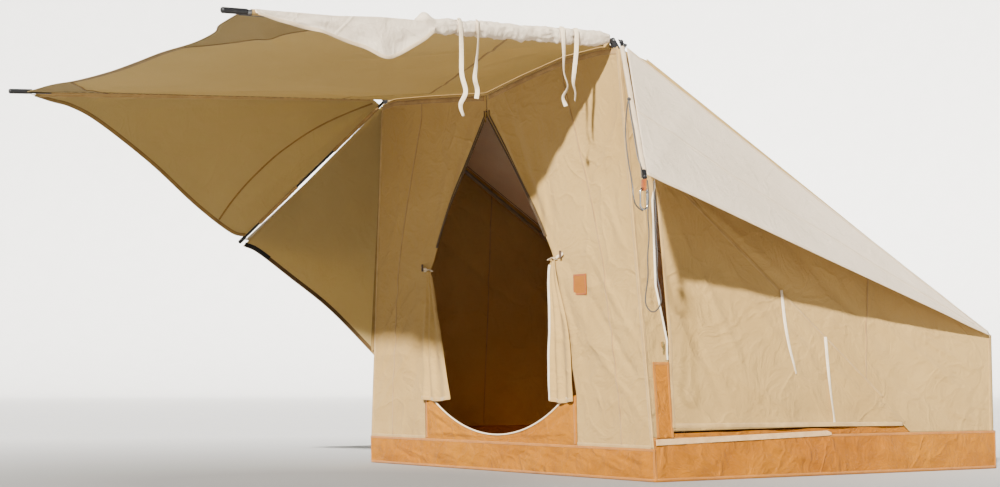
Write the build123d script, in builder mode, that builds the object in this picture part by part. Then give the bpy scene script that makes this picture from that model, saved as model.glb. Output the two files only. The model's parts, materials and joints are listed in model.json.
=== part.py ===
"""Frame tent with a tall open front, a low back, a forward canopy and side wings.

Frame: origin on the underside of the floor, at the centre of the footprint.
+X is the right-hand side seen from the front, +Y points to the low rear wall, +Z is up.
All sizes are in millimetres.
"""
from build123d import *
from math import ceil, pi, radians, tan
import os

# ---------------------------------------------------------------- driving dimensions
half_width = 1283.0        # half the footprint's width
depth = 2376.0             # footprint from the front wall to the rear wall
height = 2100.0            # top corners of the front wall
top_inset = 196.0          # how far each top front corner leans in
front_lean = 55.0          # how far the front wall's top leans forward
rear_height = 712.0        # top of the low rear wall

canopy_reach = 2159.0      # canopy corners ahead of the ridge
canopy_drop = 142.0        # canopy corners below the ridge
canopy_flare = 144.0       # canopy corners outside the ridge corners
canopy_scoop = 210.0       # hollow of the canopy's curved front edge

right_wing_out = 650.0     # right wing tip outside the ridge corner
right_wing_ahead = 375.0   # right wing tip ahead of the ridge corner
right_wing_down = 754.0    # right wing tip below the ridge corner
left_wing_out = 584.0      # the left wing is pulled further forward
left_wing_ahead = 616.0
left_wing_down = 829.0
windbreak_foot = 620.0     # height where the windbreak ends on the front corner

# ---------------------------------------------------------------- fabric
cloth = 3.0                # thickness of every canvas stand-in
floor_thick = 4.0
seam = 6.0                 # gap that keeps neighbouring cloth solids apart
lift = 8.0                 # how far an outer layer stands off the wall behind it
twist_step = 320.0         # longest straight stretch in a twisted side panel
front_skirt = 150.0        # height of the orange front skirt
side_skirt = 200.0         # height of the orange side and rear skirts

door_centre = -30.0        # the door's zip line
wall_dip = 115.0           # the front wall's top edge sags this much at mid width
wall_dip_half = 590.0      # half width of that sag
slit_below = 119.0         # where the open door starts to part, below the top edge
tie_height = 1065.0        # door flaps are tied back here
tie_reach = 578.0          # ties from the door's zip line
sill_half = 690.0          # half width of the orange door sill
sill_height = 400.0
notch_half = 605.0         # curved cut in the door sill
notch_above = 40.0         # lowest point of that cut, above the front skirt
notch_shoulder = 20.0      # the cut starts this far below the sill's corners
tail_bottom = 372.0        # lower edge of the gathered door flaps
tail_left_width = 265.0
tail_right_width = 190.0
tail_thick = 8.0
tail_neck = 40.0           # width of a gathered flap under its tie

flap_front = 118.0         # front edge of the side flap, behind the front wall
flap_top = 1540.0          # where the flap's sloping hinge line starts
flap_rear = 1690.0         # where it ends, behind the front wall
flap_bottom_lift = 62.0    # lower edge of the side flap above the side skirt, at its rear
flap_front_lift = 32.0     # and at its front
strip_edge = 92.0          # rear edge of the strip ahead of the side flap
post_height = 557.0        # orange corner post
post_width = 100.0
post_behind = 20.0         # front edge of the post, behind the front wall
badge_x = 748.0            # centre of the plain badge on the front wall
badge_z = 940.0
badge_size = 110.0

# ---------------------------------------------------------------- frame
leg_upper_od = 24.0
tube_wall = 1.5
lower_wall = 1.75          # wall of the lower leg tubes
slide_gap = 0.25           # radial gap of one tube in another, and of a tube in a socket
leg_lower_od = leg_upper_od + 2 * (slide_gap + lower_wall)
bar_od = 22.0              # ridge bar, rafters, rear legs and rear bar
leg_overlap = 120.0
leg_joint = 1010.0         # top of the lower leg tube
frame_inset = 34.0         # tube axes inside the canvas
foot_depth = 30.0          # height of a rubber foot cup
foot_od = leg_lower_od + 12
hub_size = 58.0            # room left in the cloth round a corner fitting
hub_radius = 24.0
hub_inset = 30.0           # centre of a ridge corner fitting, inside the cloth's corner
hub_behind = 34.0
hub_below = 66.0
sleeve_wall = 3.0
corner_reach = 200.0       # roof cloth is cut back this far round a corner fitting
sleeve_start = 27.0        # tubes stop this far from the centre of a corner fitting
sleeve_end = 54.0
arm_od = 20.0              # canopy arms
strut_od = 16.0            # wing struts
hinge_pin_od = 8.0
pin_gap = 0.06             # radial gap round a hinge pin
pin_head = 3.0             # thickness of a pin's head, and how far it stands out all round
hinge_ahead = 12.0         # canopy hinge ahead of the ridge corner
hinge_below = 2.0
tongue_thick = 8.0
tongue_radius = 10.0
cheek_gap = 0.6
cheek_thick = 6.0
cheek_radius = 12.0
eye_radius = 11.0
eye_back = 22.0            # wing strut eye, down the roof edge from the ridge corner
lug_back = 50.0            # lug that carries the eye's pin
lug_radius = 8.0
canopy_tip_length = 120.0
canopy_tip_solid = 38.0    # closed end of a canopy tip, ahead of its bore
wing_tip_length = 50.0
wing_tip_solid = 29.0
button_od = 7.0
button_below = 45.0        # spring button below the top of the lower leg tube
button_proud = 3.0

# ---------------------------------------------------------------- ropes and small fittings
rope = 6.0
tape_width = 20.0
tape_thick = 2.0
roll_od = 58.0
toggle_od = 12.0
toggle_length = 40.0
slider_width, slider_length = 12.0, 24.0
pull_width, pull_length = 7.0, 44.0
clip_length, clip_width, clip_wire = 100.0, 46.0, 8.0
gate_low, gate_high = -20.0, 22.0
gate_gap = 1.8             # room for the gate's square end as it turns

os.makedirs("parts", exist_ok=True)

front_y = -depth / 2
rear_y = depth / 2
X_AXIS = Vector(1, 0, 0)
Z_AXIS = Vector(0, 0, 1)


def mirrored(point):
    """The same point on the tent's left side."""
    return Vector(-point.X, point.Y, point.Z)


ridge = Vector(half_width - top_inset, front_y - front_lean, height)
rear_top = Vector(half_width, rear_y, rear_height)
canopy_corner = ridge + Vector(canopy_flare, -canopy_reach, -canopy_drop)
strut_root = ridge + (rear_top - ridge).normalized() * eye_back
right_tip = ridge + Vector(right_wing_out, -right_wing_ahead, -right_wing_down)
door_top = height - wall_dip
slit_top = door_top - slit_below
flap_bottom = side_skirt + flap_bottom_lift
flap_front_bottom = side_skirt + flap_front_lift
left_tip = mirrored(ridge) + Vector(-left_wing_out, -left_wing_ahead, -left_wing_down)


def save(part, name):
    """Label a finished piece and write it to its own STEP file."""
    part.label = name
    export_step(part, f"parts/{name}.step")


def save_group(parts, name):
    """Write several separate solids as one node."""
    save(Compound(children=parts), name)


def along(start, end, distance):
    """Point on the line from start to end, that far from start."""
    return start + (end - start).normalized() * distance


def between(start, end, share):
    return start + (end - start) * share


def slab(name, corners, thickness=cloth, plane=None):
    """Flat piece of cloth through the given corners in space."""
    if plane is None:
        side_one = (corners[1] - corners[0]).normalized()
        normal = side_one.cross(corners[2] - corners[0]).normalized()
        plane = Plane(origin=corners[0], x_dir=side_one, z_dir=normal)
    flat = [plane.to_local_coords(corner) for corner in corners]
    with BuildPart() as piece:
        with BuildSketch(plane):
            with BuildLine():
                Polyline([(point.X, point.Y) for point in flat], close=True)
            make_face()
        extrude(amount=thickness / 2, both=True)
    save(piece.part, name)
    return piece.part


def inset_corners(corners, margin):
    """Move each corner of a flat outline inwards by the same margin."""
    count = len(corners)
    normal = (corners[1] - corners[0]).cross(corners[2] - corners[0]).normalized()
    moved = []
    for index in range(count):
        before = (corners[index] - corners[index - 1]).normalized()
        after = (corners[(index + 1) % count] - corners[index]).normalized()
        inward = normal.cross(before) + normal.cross(after)
        scale = margin / (1 + normal.cross(before).dot(normal.cross(after)))
        moved.append(corners[index] + inward * scale)
    return moved


# ---------------------------------------------------------------- front wall plane
front_plane = Plane(
    origin=(0, front_y, 0),
    x_dir=X_AXIS,
    z_dir=X_AXIS.cross(Vector(0, -front_lean, height)),
)
slope_up = Vector(0, -front_lean, height).normalized()


def front_point(x, z, stand_off=0.0):
    """Point on the front wall at width x and height z, moved outwards."""
    share = z / height
    return Vector(x, front_y - front_lean * share, z) + front_plane.z_dir * stand_off


def corner_x(z):
    """Half width of the front wall at height z."""
    return half_width - top_inset * z / height


# ---------------------------------------------------------------- side wall surface
def side_point(y_back, z, side, stand_off=0.0):
    """Point on a side wall, y_back behind the front wall's foot."""
    share = y_back / depth
    top = height + (rear_height - height) * share
    inset = top_inset * (1 - share) * z / top
    return Vector(side * (half_width - inset + stand_off), front_y + y_back, z)


def side_top(y_back):
    return height + (rear_height - height) * y_back / depth


def closer_stations(stations):
    """Add stations so that the ruled panel follows the wall's gentle twist."""
    filled = [stations[0]]
    for start, end in zip(stations, stations[1:]):
        steps = ceil((end[0] - start[0]) / twist_step)
        for step in range(1, steps + 1):
            filled.append(tuple(a + (b - a) * step / steps for a, b in zip(start, end)))
    return filled


def side_cloth(name, stations, side, stand_off=0.0, thickness=cloth):
    """Twisted side panel through (y behind the front, low z, high z) stations."""
    with BuildPart() as piece:
        for y_back, low, high in closer_stations(stations):
            section = Plane(origin=(0, front_y + y_back, 0), x_dir=X_AXIS, z_dir=(0, -1, 0))
            foot = side_point(y_back, low, side, stand_off).X
            head = side_point(y_back, high, side, stand_off).X
            with BuildSketch(section):
                with BuildLine():
                    Polyline(
                        (foot - thickness / 2, low),
                        (foot + thickness / 2, low),
                        (head + thickness / 2, high),
                        (head - thickness / 2, high),
                        close=True,
                    )
                make_face()
        loft(ruled=True)
    save(piece.part, name)
    return piece.part


# ---------------------------------------------------------------- floor and skirts
def make_floor():
    with BuildPart() as floor:
        with BuildSketch():
            Rectangle(2 * half_width, depth)
        extrude(amount=floor_thick)
        fillet(floor.edges().filter_by(Axis.Z), radius=20)
    save(floor.part, "groundsheet_floor")


skirt_low = floor_thick + 0.5


def make_skirts():
    """Orange skirts between the floor and the four walls."""
    wide = half_width - seam
    corners = [
        front_point(-wide, skirt_low),
        front_point(wide, skirt_low),
        front_point(wide, front_skirt),
        front_point(-wide, front_skirt),
    ]
    slab("skirt_front", corners)
    stations = [(seam, skirt_low, side_skirt), (depth - seam, skirt_low, side_skirt)]
    side_cloth("skirt_right", stations, 1)
    side_cloth("skirt_left", stations, -1)
    rear_line = rear_y - seam / 2
    corners = [
        Vector(-wide, rear_line, skirt_low),
        Vector(wide, rear_line, skirt_low),
        Vector(wide, rear_line, side_skirt),
        Vector(-wide, rear_line, side_skirt),
    ]
    slab("skirt_rear", corners)


def make_door_sill():
    """Orange sill that stands above the front skirt, cut down in a curve."""
    low = front_skirt + seam / 2
    middle = door_centre / 2
    shoulder = sill_height - notch_shoulder
    with BuildPart() as sill:
        with BuildSketch(front_plane):
            with BuildLine():
                Polyline(
                    (middle - notch_half, shoulder),
                    (-sill_half, sill_height),
                    (-sill_half, low),
                    (sill_half, low),
                    (sill_half, sill_height),
                    (middle + notch_half, shoulder),
                )
                ThreePointArc(
                    (middle + notch_half, shoulder),
                    (middle, front_skirt + notch_above),
                    (middle - notch_half, shoulder),
                )
            make_face()
        extrude(amount=cloth / 2, both=True)
    save(sill.part, "door_sill")


# ---------------------------------------------------------------- front wall
def make_front_walls():
    low = front_skirt + seam / 2
    hub_low = height - hub_size - 2
    side_high = hub_low - 50
    for name, side in (("front_wall_left", -1), ("front_wall_right", 1)):
        tie = door_centre + side * tie_reach
        jamb = side * (sill_half + seam / 2)
        zip_line = door_centre + side * seam / 3
        outline = [
            (side * (corner_x(low) - seam), low),
            (jamb, low),
            (jamb, sill_height),
            (tie, tie_height),
            (zip_line, slit_top),
            (zip_line, door_top),
            (side * wall_dip_half, hub_low),
            (side * (corner_x(hub_low) - hub_size - seam), hub_low),
            (side * (corner_x(side_high) - seam), side_high),
        ]
        slab(name, [front_point(x, z) for x, z in outline], plane=front_plane)


def make_door_tails():
    """Loose lower part of each door flap, hanging from its tie."""
    plane = front_plane.offset(lift)
    for name, side, width in (
        ("door_flap_left", -1, tail_left_width),
        ("door_flap_right", 1, tail_right_width),
    ):
        tie = door_centre + side * tie_reach
        jamb = side * (sill_half - seam)
        outline = [
            (tie, tie_height - 15),
            (jamb, tail_bottom),
            (jamb - side * width, tail_bottom),
            (tie - side * tail_neck, tie_height - 1.5 * tail_neck),
        ]
        slab(name, [front_point(x, z, lift) for x, z in outline], tail_thick, plane)


# ---------------------------------------------------------------- side walls, rear wall, roof
roof_gap = 10.0
hub_clear = 160.0
flap_slope = (flap_bottom - flap_top) / (flap_rear - flap_front)
flap_rear_edge = 14.0


def wall_top(y_back):
    """Upper edge of a side wall, cut lower beside the corner fitting."""
    return side_top(max(y_back, hub_clear)) - roof_gap


def flap_hinge(y_back):
    """Height of the side flap's sloping hinge line."""
    return flap_top + flap_slope * (y_back - flap_front)


def make_side_walls():
    low = side_skirt + seam / 2
    end = depth - 2 * seam
    side_cloth("side_strip_right", [(seam, low, wall_top(seam)), (strip_edge, low, wall_top(strip_edge))], 1)
    above = 2 * seam
    wall_start = strip_edge + seam
    knee = flap_rear + (low - flap_hinge(flap_rear) - above) / flap_slope
    upper = [
        (wall_start, flap_hinge(wall_start) + above, wall_top(wall_start)),
        (knee, low, wall_top(knee)),
        (end, low, wall_top(end)),
    ]
    side_cloth("side_wall_right", upper, 1)
    flap = [(flap_front, flap_front_bottom, flap_top), (flap_rear, flap_bottom - flap_rear_edge, flap_bottom)]
    side_cloth("side_flap", flap, 1)
    left = [(seam, low, wall_top(seam)), (hub_clear, low, wall_top(hub_clear)), (end, low, wall_top(end))]
    side_cloth("side_wall_left", left, -1)


def make_rear_wall():
    """Low rear wall between the rear legs."""
    low = side_skirt + seam / 2
    wide = half_width - 2 * seam
    line = rear_y - seam / 2
    corners = [
        Vector(-wide, line, low),
        Vector(wide, line, low),
        Vector(wide, line, rear_height - roof_gap),
        Vector(-wide, line, rear_height - roof_gap),
    ]
    slab("rear_wall", corners)


def make_roof():
    """Roof cloth from the ridge bar down to the rear wall, clear of both hubs."""
    right, left = ridge, mirrored(ridge)
    corners = [
        along(left, right, hub_clear),
        along(right, left, hub_clear),
        along(right, rear_top, corner_reach) + Vector(-seam, 0, 0),
        rear_top + Vector(-seam, -seam, 0),
        mirrored(rear_top) + Vector(seam, -seam, 0),
        along(left, mirrored(rear_top), corner_reach) + Vector(seam, 0, 0),
    ]
    slab("roof", corners)


# ---------------------------------------------------------------- wings, windbreak, canopy
def make_wings():
    """Triangular flies held out by the wing struts."""
    for name, top, tip, rear in (
        ("wing_fly_right", strut_root, right_tip, rear_top),
        ("wing_fly_left", mirrored(strut_root), left_tip, mirrored(rear_top)),
    ):
        clear = strut_od / 2 + seam
        start = along(top, tip, 150)
        tip_in = along(tip, top, 60)
        corners = inset_corners([along(top, rear, 120), start, tip_in, along(rear, tip, 40)], clear)
        slab(name, corners)


def make_windbreak():
    """Cloth below the left wing strut, down to the front corner."""
    top, tip = mirrored(strut_root), left_tip
    foot = front_point(-corner_x(windbreak_foot) - 2 * seam, windbreak_foot)
    head = along(top, foot, 160) + Vector(-2 * seam, 0, 0)
    corners = [along(top, tip, 190), along(tip, top, 60), foot, head]
    slab("windbreak_left", inset_corners(corners, strut_od / 2 + seam))


def make_canopy_side():
    """Cloth between the canopy's left edge and the left wing strut."""
    top, tip, corner = mirrored(ridge), left_tip, mirrored(canopy_corner)
    corners = [along(top, corner, 260), along(corner, top, 160), along(tip, corner, 80), along(tip, top, 160)]
    slab("canopy_side_left", inset_corners(corners, arm_od / 2 + seam))


def make_canopy():
    """Canopy cloth between the two arms, with its curved front edge."""
    right, left = ridge, mirrored(ridge)
    middle = between(left, right, 0.5)
    reach = middle + Vector(0, -canopy_reach, -canopy_drop)
    plane = Plane(origin=middle, x_dir=X_AXIS, z_dir=X_AXIS.cross(middle - reach))
    length = (reach - middle).length
    side_gap = arm_od / 2 + seam
    back = hub_size + seam
    run_front = length - canopy_tip_length
    hinge_x = ridge.X - hub_inset
    flare = canopy_corner.X - hinge_x
    wide_back = hinge_x + flare * back / length - side_gap
    wide_front = hinge_x + flare * run_front / length - side_gap
    with BuildPart() as cloth_panel:
        with BuildSketch(plane):
            with BuildLine():
                Polyline(
                    (wide_front, -run_front),
                    (wide_back, -back),
                    (-wide_back, -back),
                    (-wide_front, -run_front),
                )
                ThreePointArc(
                    (-wide_front, -run_front),
                    (0, -length + canopy_scoop),
                    (wide_front, -run_front),
                )
            make_face()
        extrude(amount=cloth / 2, both=True)
    save(cloth_panel.part, "canopy")


# ---------------------------------------------------------------- corner fittings and tubes
hub = ridge + Vector(-hub_inset, hub_behind, -hub_below)
rear_hub = Vector(half_width - frame_inset, rear_y - frame_inset, rear_height - 50)
front_foot = Vector(half_width - frame_inset - 16, front_y + frame_inset, floor_thick + 6)
rear_foot = Vector(rear_hub.X, rear_hub.Y, floor_thick + 6)
hinge = Vector(hub.X, ridge.Y - hinge_ahead, ridge.Z - hinge_below)
edge_line = (rear_top - ridge).normalized()


def sleeve_radius(tube_od):
    return tube_od / 2 + slide_gap + sleeve_wall


def bore_plane(centre, target):
    """Plane just inside a sleeve's inner end, facing along its tube."""
    return Plane(origin=along(centre, target, sleeve_start - 1), z_dir=target - centre)


def mirror_part(part):
    return mirror(part, about=Plane.YZ)


def save_pair(part, name):
    """Write a right-hand piece and its left-hand twin."""
    save(part, f"{name}_right")
    save(mirror_part(part), f"{name}_left")


def save_twins(part, name):
    """Write a right-hand piece and its left-hand twin as one node of separate solids."""
    save_group([part, mirror_part(part)], name)


def make_front_hub():
    """Front corner fitting: three sleeves, a forked ear for the canopy arm, a pin for the wing."""
    branches = (
        (front_foot, leg_upper_od),
        (hub - X_AXIS * 100, bar_od),
        (rear_hub, bar_od),
    )
    lug = along(ridge, rear_top, lug_back)
    with BuildPart() as fitting:
        with Locations(hub):
            Sphere(hub_radius)
        for target, tube_od in branches:
            with BuildSketch(Plane(origin=hub, z_dir=target - hub)):
                Circle(sleeve_radius(tube_od))
            extrude(amount=sleeve_end)
        for step in (-1, 1):
            inner = hub.X + step * (tongue_thick / 2 + cheek_gap)
            ear = Plane(origin=(inner, 0, 0), x_dir=(0, step, 0), z_dir=(step, 0, 0))
            with BuildSketch(ear):
                with Locations((step * hinge.Y, hinge.Z)):
                    Circle(cheek_radius)
                with Locations((step * hub.Y, hub.Z)):
                    Circle(cheek_radius + 2)
                make_hull()
            extrude(amount=cheek_thick)
        with BuildSketch(Plane(origin=hub, z_dir=lug - hub)):
            Circle(lug_radius - 1)
        extrude(amount=(lug - hub).length)
        with Locations(lug):
            Sphere(lug_radius)
        with BuildSketch(Plane(origin=lug, z_dir=-edge_line)):
            Circle(hinge_pin_od / 2)
        extrude(amount=lug_back - 4)
        for target, tube_od in branches:
            with BuildSketch(bore_plane(hub, target)):
                Circle(tube_od / 2 + slide_gap)
            extrude(amount=sleeve_end, mode=Mode.SUBTRACT)
        with BuildSketch(Plane(origin=hinge - X_AXIS * 30, z_dir=X_AXIS)):
            Circle(hinge_pin_od / 2 + pin_gap)
        extrude(amount=60, mode=Mode.SUBTRACT)
    save_pair(fitting.part, "ridge_hub")


def make_rear_hub():
    """Rear corner fitting with three sleeves."""
    branches = (
        (rear_foot, bar_od),
        (rear_hub - X_AXIS * 100, bar_od),
        (hub, bar_od),
    )
    with BuildPart() as fitting:
        with Locations(rear_hub):
            Sphere(hub_radius - 4)
        for target, tube_od in branches:
            with BuildSketch(Plane(origin=rear_hub, z_dir=target - rear_hub)):
                Circle(sleeve_radius(tube_od))
            extrude(amount=sleeve_end)
        for target, tube_od in branches:
            with BuildSketch(bore_plane(rear_hub, target)):
                Circle(tube_od / 2 + slide_gap)
            extrude(amount=sleeve_end, mode=Mode.SUBTRACT)
    save_twins(fitting.part, "rear_hubs")


def plain_tube(start, end, outer, wall=tube_wall):
    with BuildPart() as piece:
        with BuildSketch(Plane(origin=start, z_dir=end - start)):
            Circle(outer / 2)
            Circle(outer / 2 - wall, mode=Mode.SUBTRACT)
        extrude(amount=(end - start).length)
    return piece


leg_up = (hub - front_foot).normalized()
button_spot = front_foot + leg_up * (leg_joint - button_below)
button_plane = Plane(origin=button_spot, x_dir=leg_up, z_dir=Vector(0, 1, 0) - leg_up * leg_up.Y)


def make_front_legs():
    """Two-part front legs, locked by a spring button."""
    with BuildPart() as lower:
        with BuildSketch(Plane(origin=front_foot, z_dir=leg_up)):
            Circle(leg_lower_od / 2)
            Circle(leg_lower_od / 2 - lower_wall, mode=Mode.SUBTRACT)
        extrude(amount=leg_joint)
        with BuildSketch(button_plane):
            Circle(button_od / 2 + slide_gap)
        extrude(amount=leg_lower_od, mode=Mode.SUBTRACT)
    save_twins(lower.part, "front_legs_lower")
    start = front_foot + leg_up * (leg_joint - leg_overlap)
    end = along(hub, front_foot, sleeve_start)
    with BuildPart() as upper:
        with BuildSketch(Plane(origin=start, z_dir=leg_up)):
            Circle(leg_upper_od / 2)
            Circle(leg_upper_od / 2 - tube_wall, mode=Mode.SUBTRACT)
        extrude(amount=(end - start).length)
        with BuildSketch(button_plane):
            Circle(button_od / 2 + slide_gap)
        extrude(amount=leg_lower_od, mode=Mode.SUBTRACT)
    save_twins(upper.part, "front_legs_upper")


def make_spring_buttons():
    """Buttons with a flange inside the upper tube, and the leaf springs behind them."""
    flange_base = leg_upper_od / 2 - 6.5
    head = leg_lower_od / 2 + button_proud
    with BuildPart() as button:
        with BuildSketch(button_plane.offset(flange_base)):
            Circle(button_od / 2)
        extrude(amount=head - flange_base)
        fillet(button.edges().sort_by(Axis.Y)[-1], radius=1.5)
        with BuildSketch(button_plane.offset(flange_base)):
            Circle(button_od / 2 + 2)
        extrude(amount=2)
    save_pair(button.part, "leg_button")
    with BuildPart() as leaf:
        with BuildSketch(button_plane.offset(flange_base - 1.3)):
            Rectangle(60, 8)
        extrude(amount=1)
    save_twins(leaf.part, "button_springs")


def make_roof_frame():
    """Ridge bar, rear bar, rafters and rear legs."""
    ridge_bar = plain_tube(hub - X_AXIS * sleeve_start, mirrored(hub) + X_AXIS * sleeve_start, bar_od)
    save(ridge_bar.part, "ridge_bar")
    rear_bar = plain_tube(rear_hub - X_AXIS * sleeve_start, mirrored(rear_hub) + X_AXIS * sleeve_start, bar_od)
    save(rear_bar.part, "rear_bar")
    rafter = plain_tube(along(hub, rear_hub, sleeve_start), along(rear_hub, hub, sleeve_start), bar_od)
    save_twins(rafter.part, "rafters")
    rear_leg = plain_tube(rear_foot, along(rear_hub, rear_foot, sleeve_start), bar_od)
    save_twins(rear_leg.part, "rear_legs")


def make_feet():
    """Rubber cups under all four legs."""
    base = floor_thick + 0.5
    legs = (
        (front_foot, hub, leg_lower_od),
        (rear_foot, rear_hub, bar_od),
    )
    with BuildPart() as feet:
        for side in (1, -1):
            for foot, head, tube_od in legs:
                spot = foot if side > 0 else mirrored(foot)
                aim = head if side > 0 else mirrored(head)
                with BuildSketch(Plane(origin=(spot.X, spot.Y, base))):
                    Circle(foot_od / 2)
                extrude(amount=foot_depth)
                with BuildSketch(Plane(origin=spot - (aim - spot).normalized() * 0.4, z_dir=aim - spot)):
                    Circle(tube_od / 2 + slide_gap)
                extrude(amount=2 * foot_depth, mode=Mode.SUBTRACT)
    save(feet.part, "foot_cups")


# ---------------------------------------------------------------- canopy arms and wing struts
def make_canopy_arms():
    """Arm with a flat tongue at the hinge, and its black end cap."""
    tube_start = along(hinge, canopy_corner, 26)
    tube_end = along(canopy_corner, hinge, 40)
    with BuildPart() as arm:
        with BuildSketch(Plane(origin=tube_start, z_dir=canopy_corner - hinge)):
            Circle(arm_od / 2)
        extrude(amount=(tube_end - tube_start).length)
        tongue = Plane(origin=(hinge.X, 0, 0), x_dir=(0, 1, 0), z_dir=(1, 0, 0))
        with BuildSketch(tongue):
            with Locations((hinge.Y, hinge.Z)):
                Circle(tongue_radius)
            with Locations((tube_start.Y - 6, tube_start.Z)):
                Circle(tongue_radius - 2)
            make_hull()
        extrude(amount=tongue_thick / 2, both=True)
        core_start = tube_start + (canopy_corner - hinge).normalized() * 14
        with BuildSketch(Plane(origin=core_start, z_dir=canopy_corner - hinge)):
            Circle(arm_od / 2 - tube_wall)
        extrude(amount=(tube_end - core_start).length + 1, mode=Mode.SUBTRACT)
        with BuildSketch(Plane(origin=hinge - X_AXIS * 30, z_dir=X_AXIS)):
            Circle(hinge_pin_od / 2 + pin_gap)
        extrude(amount=60, mode=Mode.SUBTRACT)
    save_twins(arm.part, "canopy_arms")
    cap_start = along(canopy_corner, hinge, canopy_tip_length)
    with BuildPart() as cap:
        with BuildSketch(Plane(origin=cap_start, z_dir=canopy_corner - hinge)):
            Circle(arm_od / 2 + sleeve_wall)
        extrude(amount=canopy_tip_length)
        fillet(cap.edges().sort_by(Axis.Y)[0], radius=arm_od / 2 - 2)
        with BuildSketch(Plane(origin=cap_start, z_dir=canopy_corner - hinge)):
            Circle(arm_od / 2 + slide_gap)
        extrude(amount=canopy_tip_length - canopy_tip_solid, mode=Mode.SUBTRACT)
    save_twins(cap.part, "canopy_tips")


def make_hinge_pins():
    """Headed pins of the canopy hinge."""
    reach = tongue_thick / 2 + cheek_gap + cheek_thick + 2
    with BuildPart() as pins:
        for side in (1, -1):
            centre = hinge if side > 0 else mirrored(hinge)
            with BuildSketch(Plane(origin=centre - X_AXIS * reach, z_dir=X_AXIS)):
                Circle(hinge_pin_od / 2)
            extrude(amount=2 * reach)
            for face in (-1, 1):
                head = centre + X_AXIS * face * (reach - pin_head / 2)
                with BuildSketch(Plane(origin=head, z_dir=X_AXIS * face)):
                    Circle(hinge_pin_od / 2 + pin_head)
                extrude(amount=pin_head)
    save(pins.part, "canopy_hinge_pins")


def make_wing_struts():
    """Black struts: an eye on the corner fitting's pin, a rod and a rounded end."""
    for name, root, tip, edge in (
        ("right", strut_root, right_tip, edge_line),
        ("left", mirrored(strut_root), left_tip, mirrored(edge_line)),
    ):
        rod_end = along(tip, root, 30)
        with BuildPart() as strut:
            with Locations(root):
                Sphere(eye_radius)
            with BuildSketch(Plane(origin=root, z_dir=tip - root)):
                Circle(strut_od / 2)
            extrude(amount=(rod_end - root).length)
            with BuildSketch(Plane(origin=root - edge * 20, z_dir=edge)):
                Circle(hinge_pin_od / 2 + pin_gap)
            extrude(amount=40, mode=Mode.SUBTRACT)
            bore_start = along(root, tip, 40)
            with BuildSketch(Plane(origin=bore_start, z_dir=tip - root)):
                Circle(strut_od / 2 - tube_wall)
            extrude(amount=(rod_end - root).length, mode=Mode.SUBTRACT)
        save(strut.part, f"wing_strut_{name}")
        with BuildPart() as cap:
            with BuildSketch(Plane(origin=along(tip, root, wing_tip_length), z_dir=tip - root)):
                Circle(strut_od / 2 + sleeve_wall)
            extrude(amount=wing_tip_length)
            fillet(cap.edges().sort_by(Axis.Z)[0], radius=strut_od / 2 - 2)
            with BuildSketch(Plane(origin=along(tip, root, wing_tip_length), z_dir=tip - root)):
                Circle(strut_od / 2 + slide_gap)
            extrude(amount=wing_tip_length - wing_tip_solid, mode=Mode.SUBTRACT)
        save(cap.part, f"wing_tip_{name}")


# ---------------------------------------------------------------- trims on the cloth
def make_patches():
    """Plain badge, orange corner post, sill behind the side flap and binding over the side skirt."""
    badge_plane = front_plane.offset(lift / 2)
    half = badge_size / 2
    corners = [
        front_point(badge_x + u * half, badge_z + v * half, lift / 2)
        for u, v in ((-1, -1), (1, -1), (1, 1), (-1, 1))
    ]
    slab("badge_patch", corners, tape_thick, badge_plane)
    low = side_skirt + seam / 2
    outer = lift / 2 + tape_thick / 2
    post = [(post_behind, low, post_height), (post_behind + post_width, low, post_height)]
    side_cloth("corner_post_patch", post, 1, outer, tape_thick)
    sill = [
        (flap_front, low, flap_front_bottom - 10),
        (1180, low, flap_front_bottom + 4),
        (1640, low, flap_bottom + 2),
        (1715, low, low + 8),
    ]
    side_cloth("side_sill", sill, 1, -outer)
    binding = [
        (2 * seam, side_skirt - 32, side_skirt - 4),
        (1120, side_skirt - 4, side_skirt + 22),
        (1150, side_skirt, side_skirt + 10),
    ]
    side_cloth("skirt_binding", binding, 1, outer, tape_thick)


def strap(start, end, across):
    """Flat tape between two points, as wide as given across."""
    plane = Plane(origin=start, x_dir=across, z_dir=across.cross(end - start))
    length = plane.to_local_coords(end).Y
    with BuildPart() as tape:
        with BuildSketch(plane):
            with Locations((0, length / 2)):
                Rectangle(tape_width, abs(length))
        extrude(amount=tape_thick / 2, both=True)
    return tape.part


roll_start, roll_end = 0.07, 0.62                    # shares of the canopy arm
roll_lift = Vector(0, 0, arm_od / 2 + roll_od / 2 + 2)
roll_ties = ((0.13, 221.0), (0.155, 258.0), (0.39, 260.0), (0.43, 284.0))   # share and length
loose_start, loose_tip, loose_end = 0.5, 0.62, 0.93
loose_drop = 165.0


def make_roll():
    """Side panel rolled up along the canopy's right edge, its loose end and its tapes."""
    start = between(hinge, canopy_corner, roll_start) + roll_lift
    end = between(hinge, canopy_corner, roll_end) + roll_lift
    with BuildPart() as roll:
        with BuildSketch(Plane(origin=start, z_dir=end - start)):
            Circle(roll_od / 2)
        extrude(amount=(end - start).length)
        fillet(roll.edges(), radius=12)
    save(roll.part, "canopy_side_roll")
    outside = X_AXIS * (arm_od / 2 + 7)
    top_line = Vector(0, 0, 14)
    corners = [
        between(hinge, canopy_corner, loose_start) + outside + top_line,
        between(hinge, canopy_corner, loose_tip) + outside - Z_AXIS * loose_drop,
        between(hinge, canopy_corner, loose_end) + outside + top_line,
    ]
    slab("canopy_side_loose_end", corners)
    tape_out = X_AXIS * (roll_od / 2 + 6)
    tapes = []
    for share, length in roll_ties:
        top = between(hinge, canopy_corner, share) + roll_lift + tape_out
        tapes.append(strap(top, top - Z_AXIS * length, Vector(0, 1, 0)))
    save_group(tapes, "roll_ties")


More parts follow.
